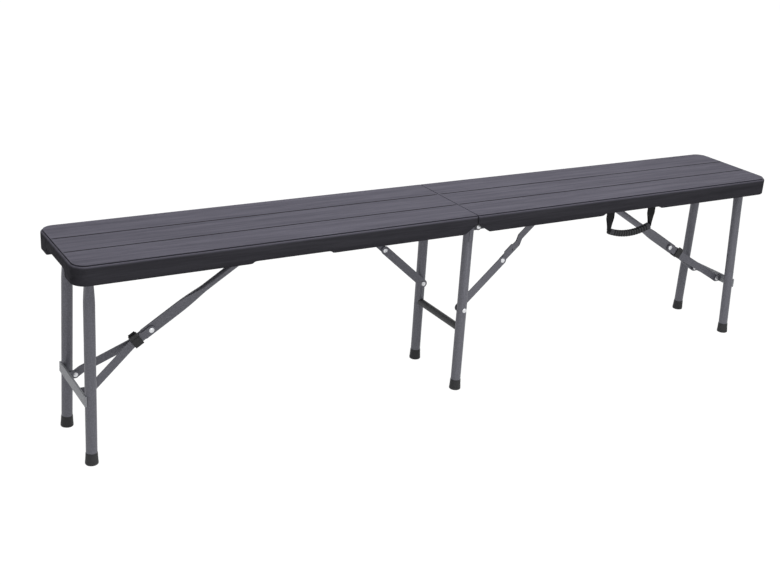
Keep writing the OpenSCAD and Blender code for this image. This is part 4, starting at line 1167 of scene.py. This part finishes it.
class BENCH_OT_stage(bpy.types.Operator):
    """Makes the floor, the lamps and the camera"""

    bl_idname = "bench.stage"
    bl_label = "Stage"

    def execute(self, context):
        look = context.scene.bench_stage
        self.floor(look)
        self.world(look)
        lamps = (
            ("key_lamp", (0.0, -0.35, 2.6), 2.4, look.key_power),
            ("fill_lamp", (-0.1, -3.0, 1.2), 1.6, look.fill_power),
        )
        for name, place, size, power in lamps:
            lamp = bpy.data.lights.new(name, "AREA")
            lamp.size = size
            lamp.energy = power
            item = bpy.data.objects.new(name, lamp)
            item.location = place
            aim = -np.array(place) + np.array([0.0, 0.0, 0.3])
            item.rotation_euler = Vector(tuple(aim)).to_track_quat("-Z", "Y").to_euler()
            context.scene.collection.objects.link(item)
        self.camera(context)
        context.scene.view_settings.view_transform = "Standard"
        return {"FINISHED"}

    @staticmethod
    def floor(look):
        """A wide plane that shows as an even pale field and keeps the soft shadows."""
        half = 30.0
        points = [(-half, -half, 0.0), (half, -half, 0.0), (half, half, 0.0), (-half, half, 0.0)]
        mesh = bpy.data.meshes.new("floor")
        mesh.from_pydata(points, [], [(0, 1, 2, 3)])
        floor = bpy.data.objects.new("floor", mesh)
        bpy.context.scene.collection.objects.link(floor)
        finish = Finish("pale_floor", (look.floor_shade,) * 3 + (1.0,), 0.9, specular=0.0)
        glow = finish.tree.nodes.new("ShaderNodeEmission")
        glow.inputs["Color"].default_value = (1.0, 1.0, 1.0, 1.0)
        glow.inputs["Strength"].default_value = look.backdrop
        rays = finish.node("ShaderNodeLightPath", {}, {}, "Is Camera Ray")
        mirrored = Tap(finish, rays.socket.node.outputs["Is Glossy Ray"])
        through = Tap(finish, rays.socket.node.outputs["Is Transmission Ray"])
        mix = finish.tree.nodes.new("ShaderNodeMixShader")
        finish.put(mix.inputs[0], (rays + mirrored + through) * 0.86)
        finish.tree.links.new(finish.shader.outputs[0], mix.inputs[1])
        finish.tree.links.new(glow.outputs[0], mix.inputs[2])
        out = next(n for n in finish.tree.nodes if n.bl_idname == "ShaderNodeOutputMaterial")
        finish.tree.links.new(mix.outputs[0], out.inputs["Surface"])
        mesh.materials.append(finish.material)

    @staticmethod
    def world(look):
        """Even light from all round, white to the camera."""
        world = bpy.data.worlds.new("studio")
        world.use_nodes = True
        tree = world.node_tree
        tree.nodes.clear()
        rays = tree.nodes.new("ShaderNodeLightPath")
        mix = tree.nodes.new("ShaderNodeMixShader")
        for place, strength in ((1, look.sky), (2, 1.0)):
            shine = tree.nodes.new("ShaderNodeBackground")
            shine.inputs["Color"].default_value = (1.0, 1.0, 1.0, 1.0)
            shine.inputs["Strength"].default_value = strength
            tree.links.new(shine.outputs[0], mix.inputs[place])
        out = tree.nodes.new("ShaderNodeOutputWorld")
        seen = rays.outputs["Is Camera Ray"]
        for kind in ("Is Glossy Ray", "Is Transmission Ray"):
            either = tree.nodes.new("ShaderNodeMath")
            either.operation = "MAXIMUM"
            tree.links.new(seen, either.inputs[0])
            tree.links.new(rays.outputs[kind], either.inputs[1])
            seen = either.outputs[0]
        tree.links.new(seen, mix.inputs[0])
        tree.links.new(mix.outputs[0], out.inputs["Surface"])
        bpy.context.scene.world = world

    @staticmethod
    def camera(context):
        """The camera at the fitted place, turned by its own right and up directions."""
        right, up = Vector(CAMERA_RIGHT), Vector(CAMERA_UP)
        back = right.cross(up)
        turn = Matrix((right, up, back)).transposed().to_4x4()
        data = bpy.data.cameras.new("camera")
        data.sensor_width = 36.0
        data.lens = CAMERA_LENS
        data.clip_end = 100.0
        camera = bpy.data.objects.new("camera", data)
        camera.matrix_world = Matrix.Translation(CAMERA_PLACE) @ turn
        context.scene.collection.objects.link(camera)
        context.scene.camera = camera


# ---------- Panel and registration ----------

OPERATORS = (
    BENCH_OT_seat,
    BENCH_OT_legs,
    BENCH_OT_braces,
    BENCH_OT_rivets,
    BENCH_OT_feet,
    BENCH_OT_handle,
    BENCH_OT_stage,
)
LOOKS = {"bench_seat": SeatLook, "bench_steel": SteelLook, "bench_trim": TrimLook, "bench_stage": StageLook}


class BENCH_PT_panel(bpy.types.Panel):
    """Lists the settings and the operators"""

    bl_idname = "BENCH_PT_panel"
    bl_label = "Folding Bench"
    bl_space_type = "VIEW_3D"
    bl_region_type = "UI"
    bl_category = "Bench"

    def draw(self, context):
        for key, group in LOOKS.items():
            box = self.layout.box()
            for name in group.__annotations__:
                box.prop(getattr(context.scene, key), name)
        for operator in OPERATORS:
            self.layout.operator(operator.bl_idname)


def register():
    for cls in (*LOOKS.values(), *OPERATORS, BENCH_PT_panel):
        bpy.utils.register_class(cls)
    for key, group in LOOKS.items():
        setattr(bpy.types.Scene, key, bpy.props.PointerProperty(type=group))


def unregister():
    for key in LOOKS:
        delattr(bpy.types.Scene, key)
    for cls in reversed((*LOOKS.values(), *OPERATORS, BENCH_PT_panel)):
        bpy.utils.unregister_class(cls)


def main():
    """Registers the classes and runs every operator."""
    register()
    for operator in OPERATORS:
        group, name = operator.bl_idname.split(".")
        getattr(getattr(bpy.ops, group), name)()


if __name__ == "__main__":
    main()
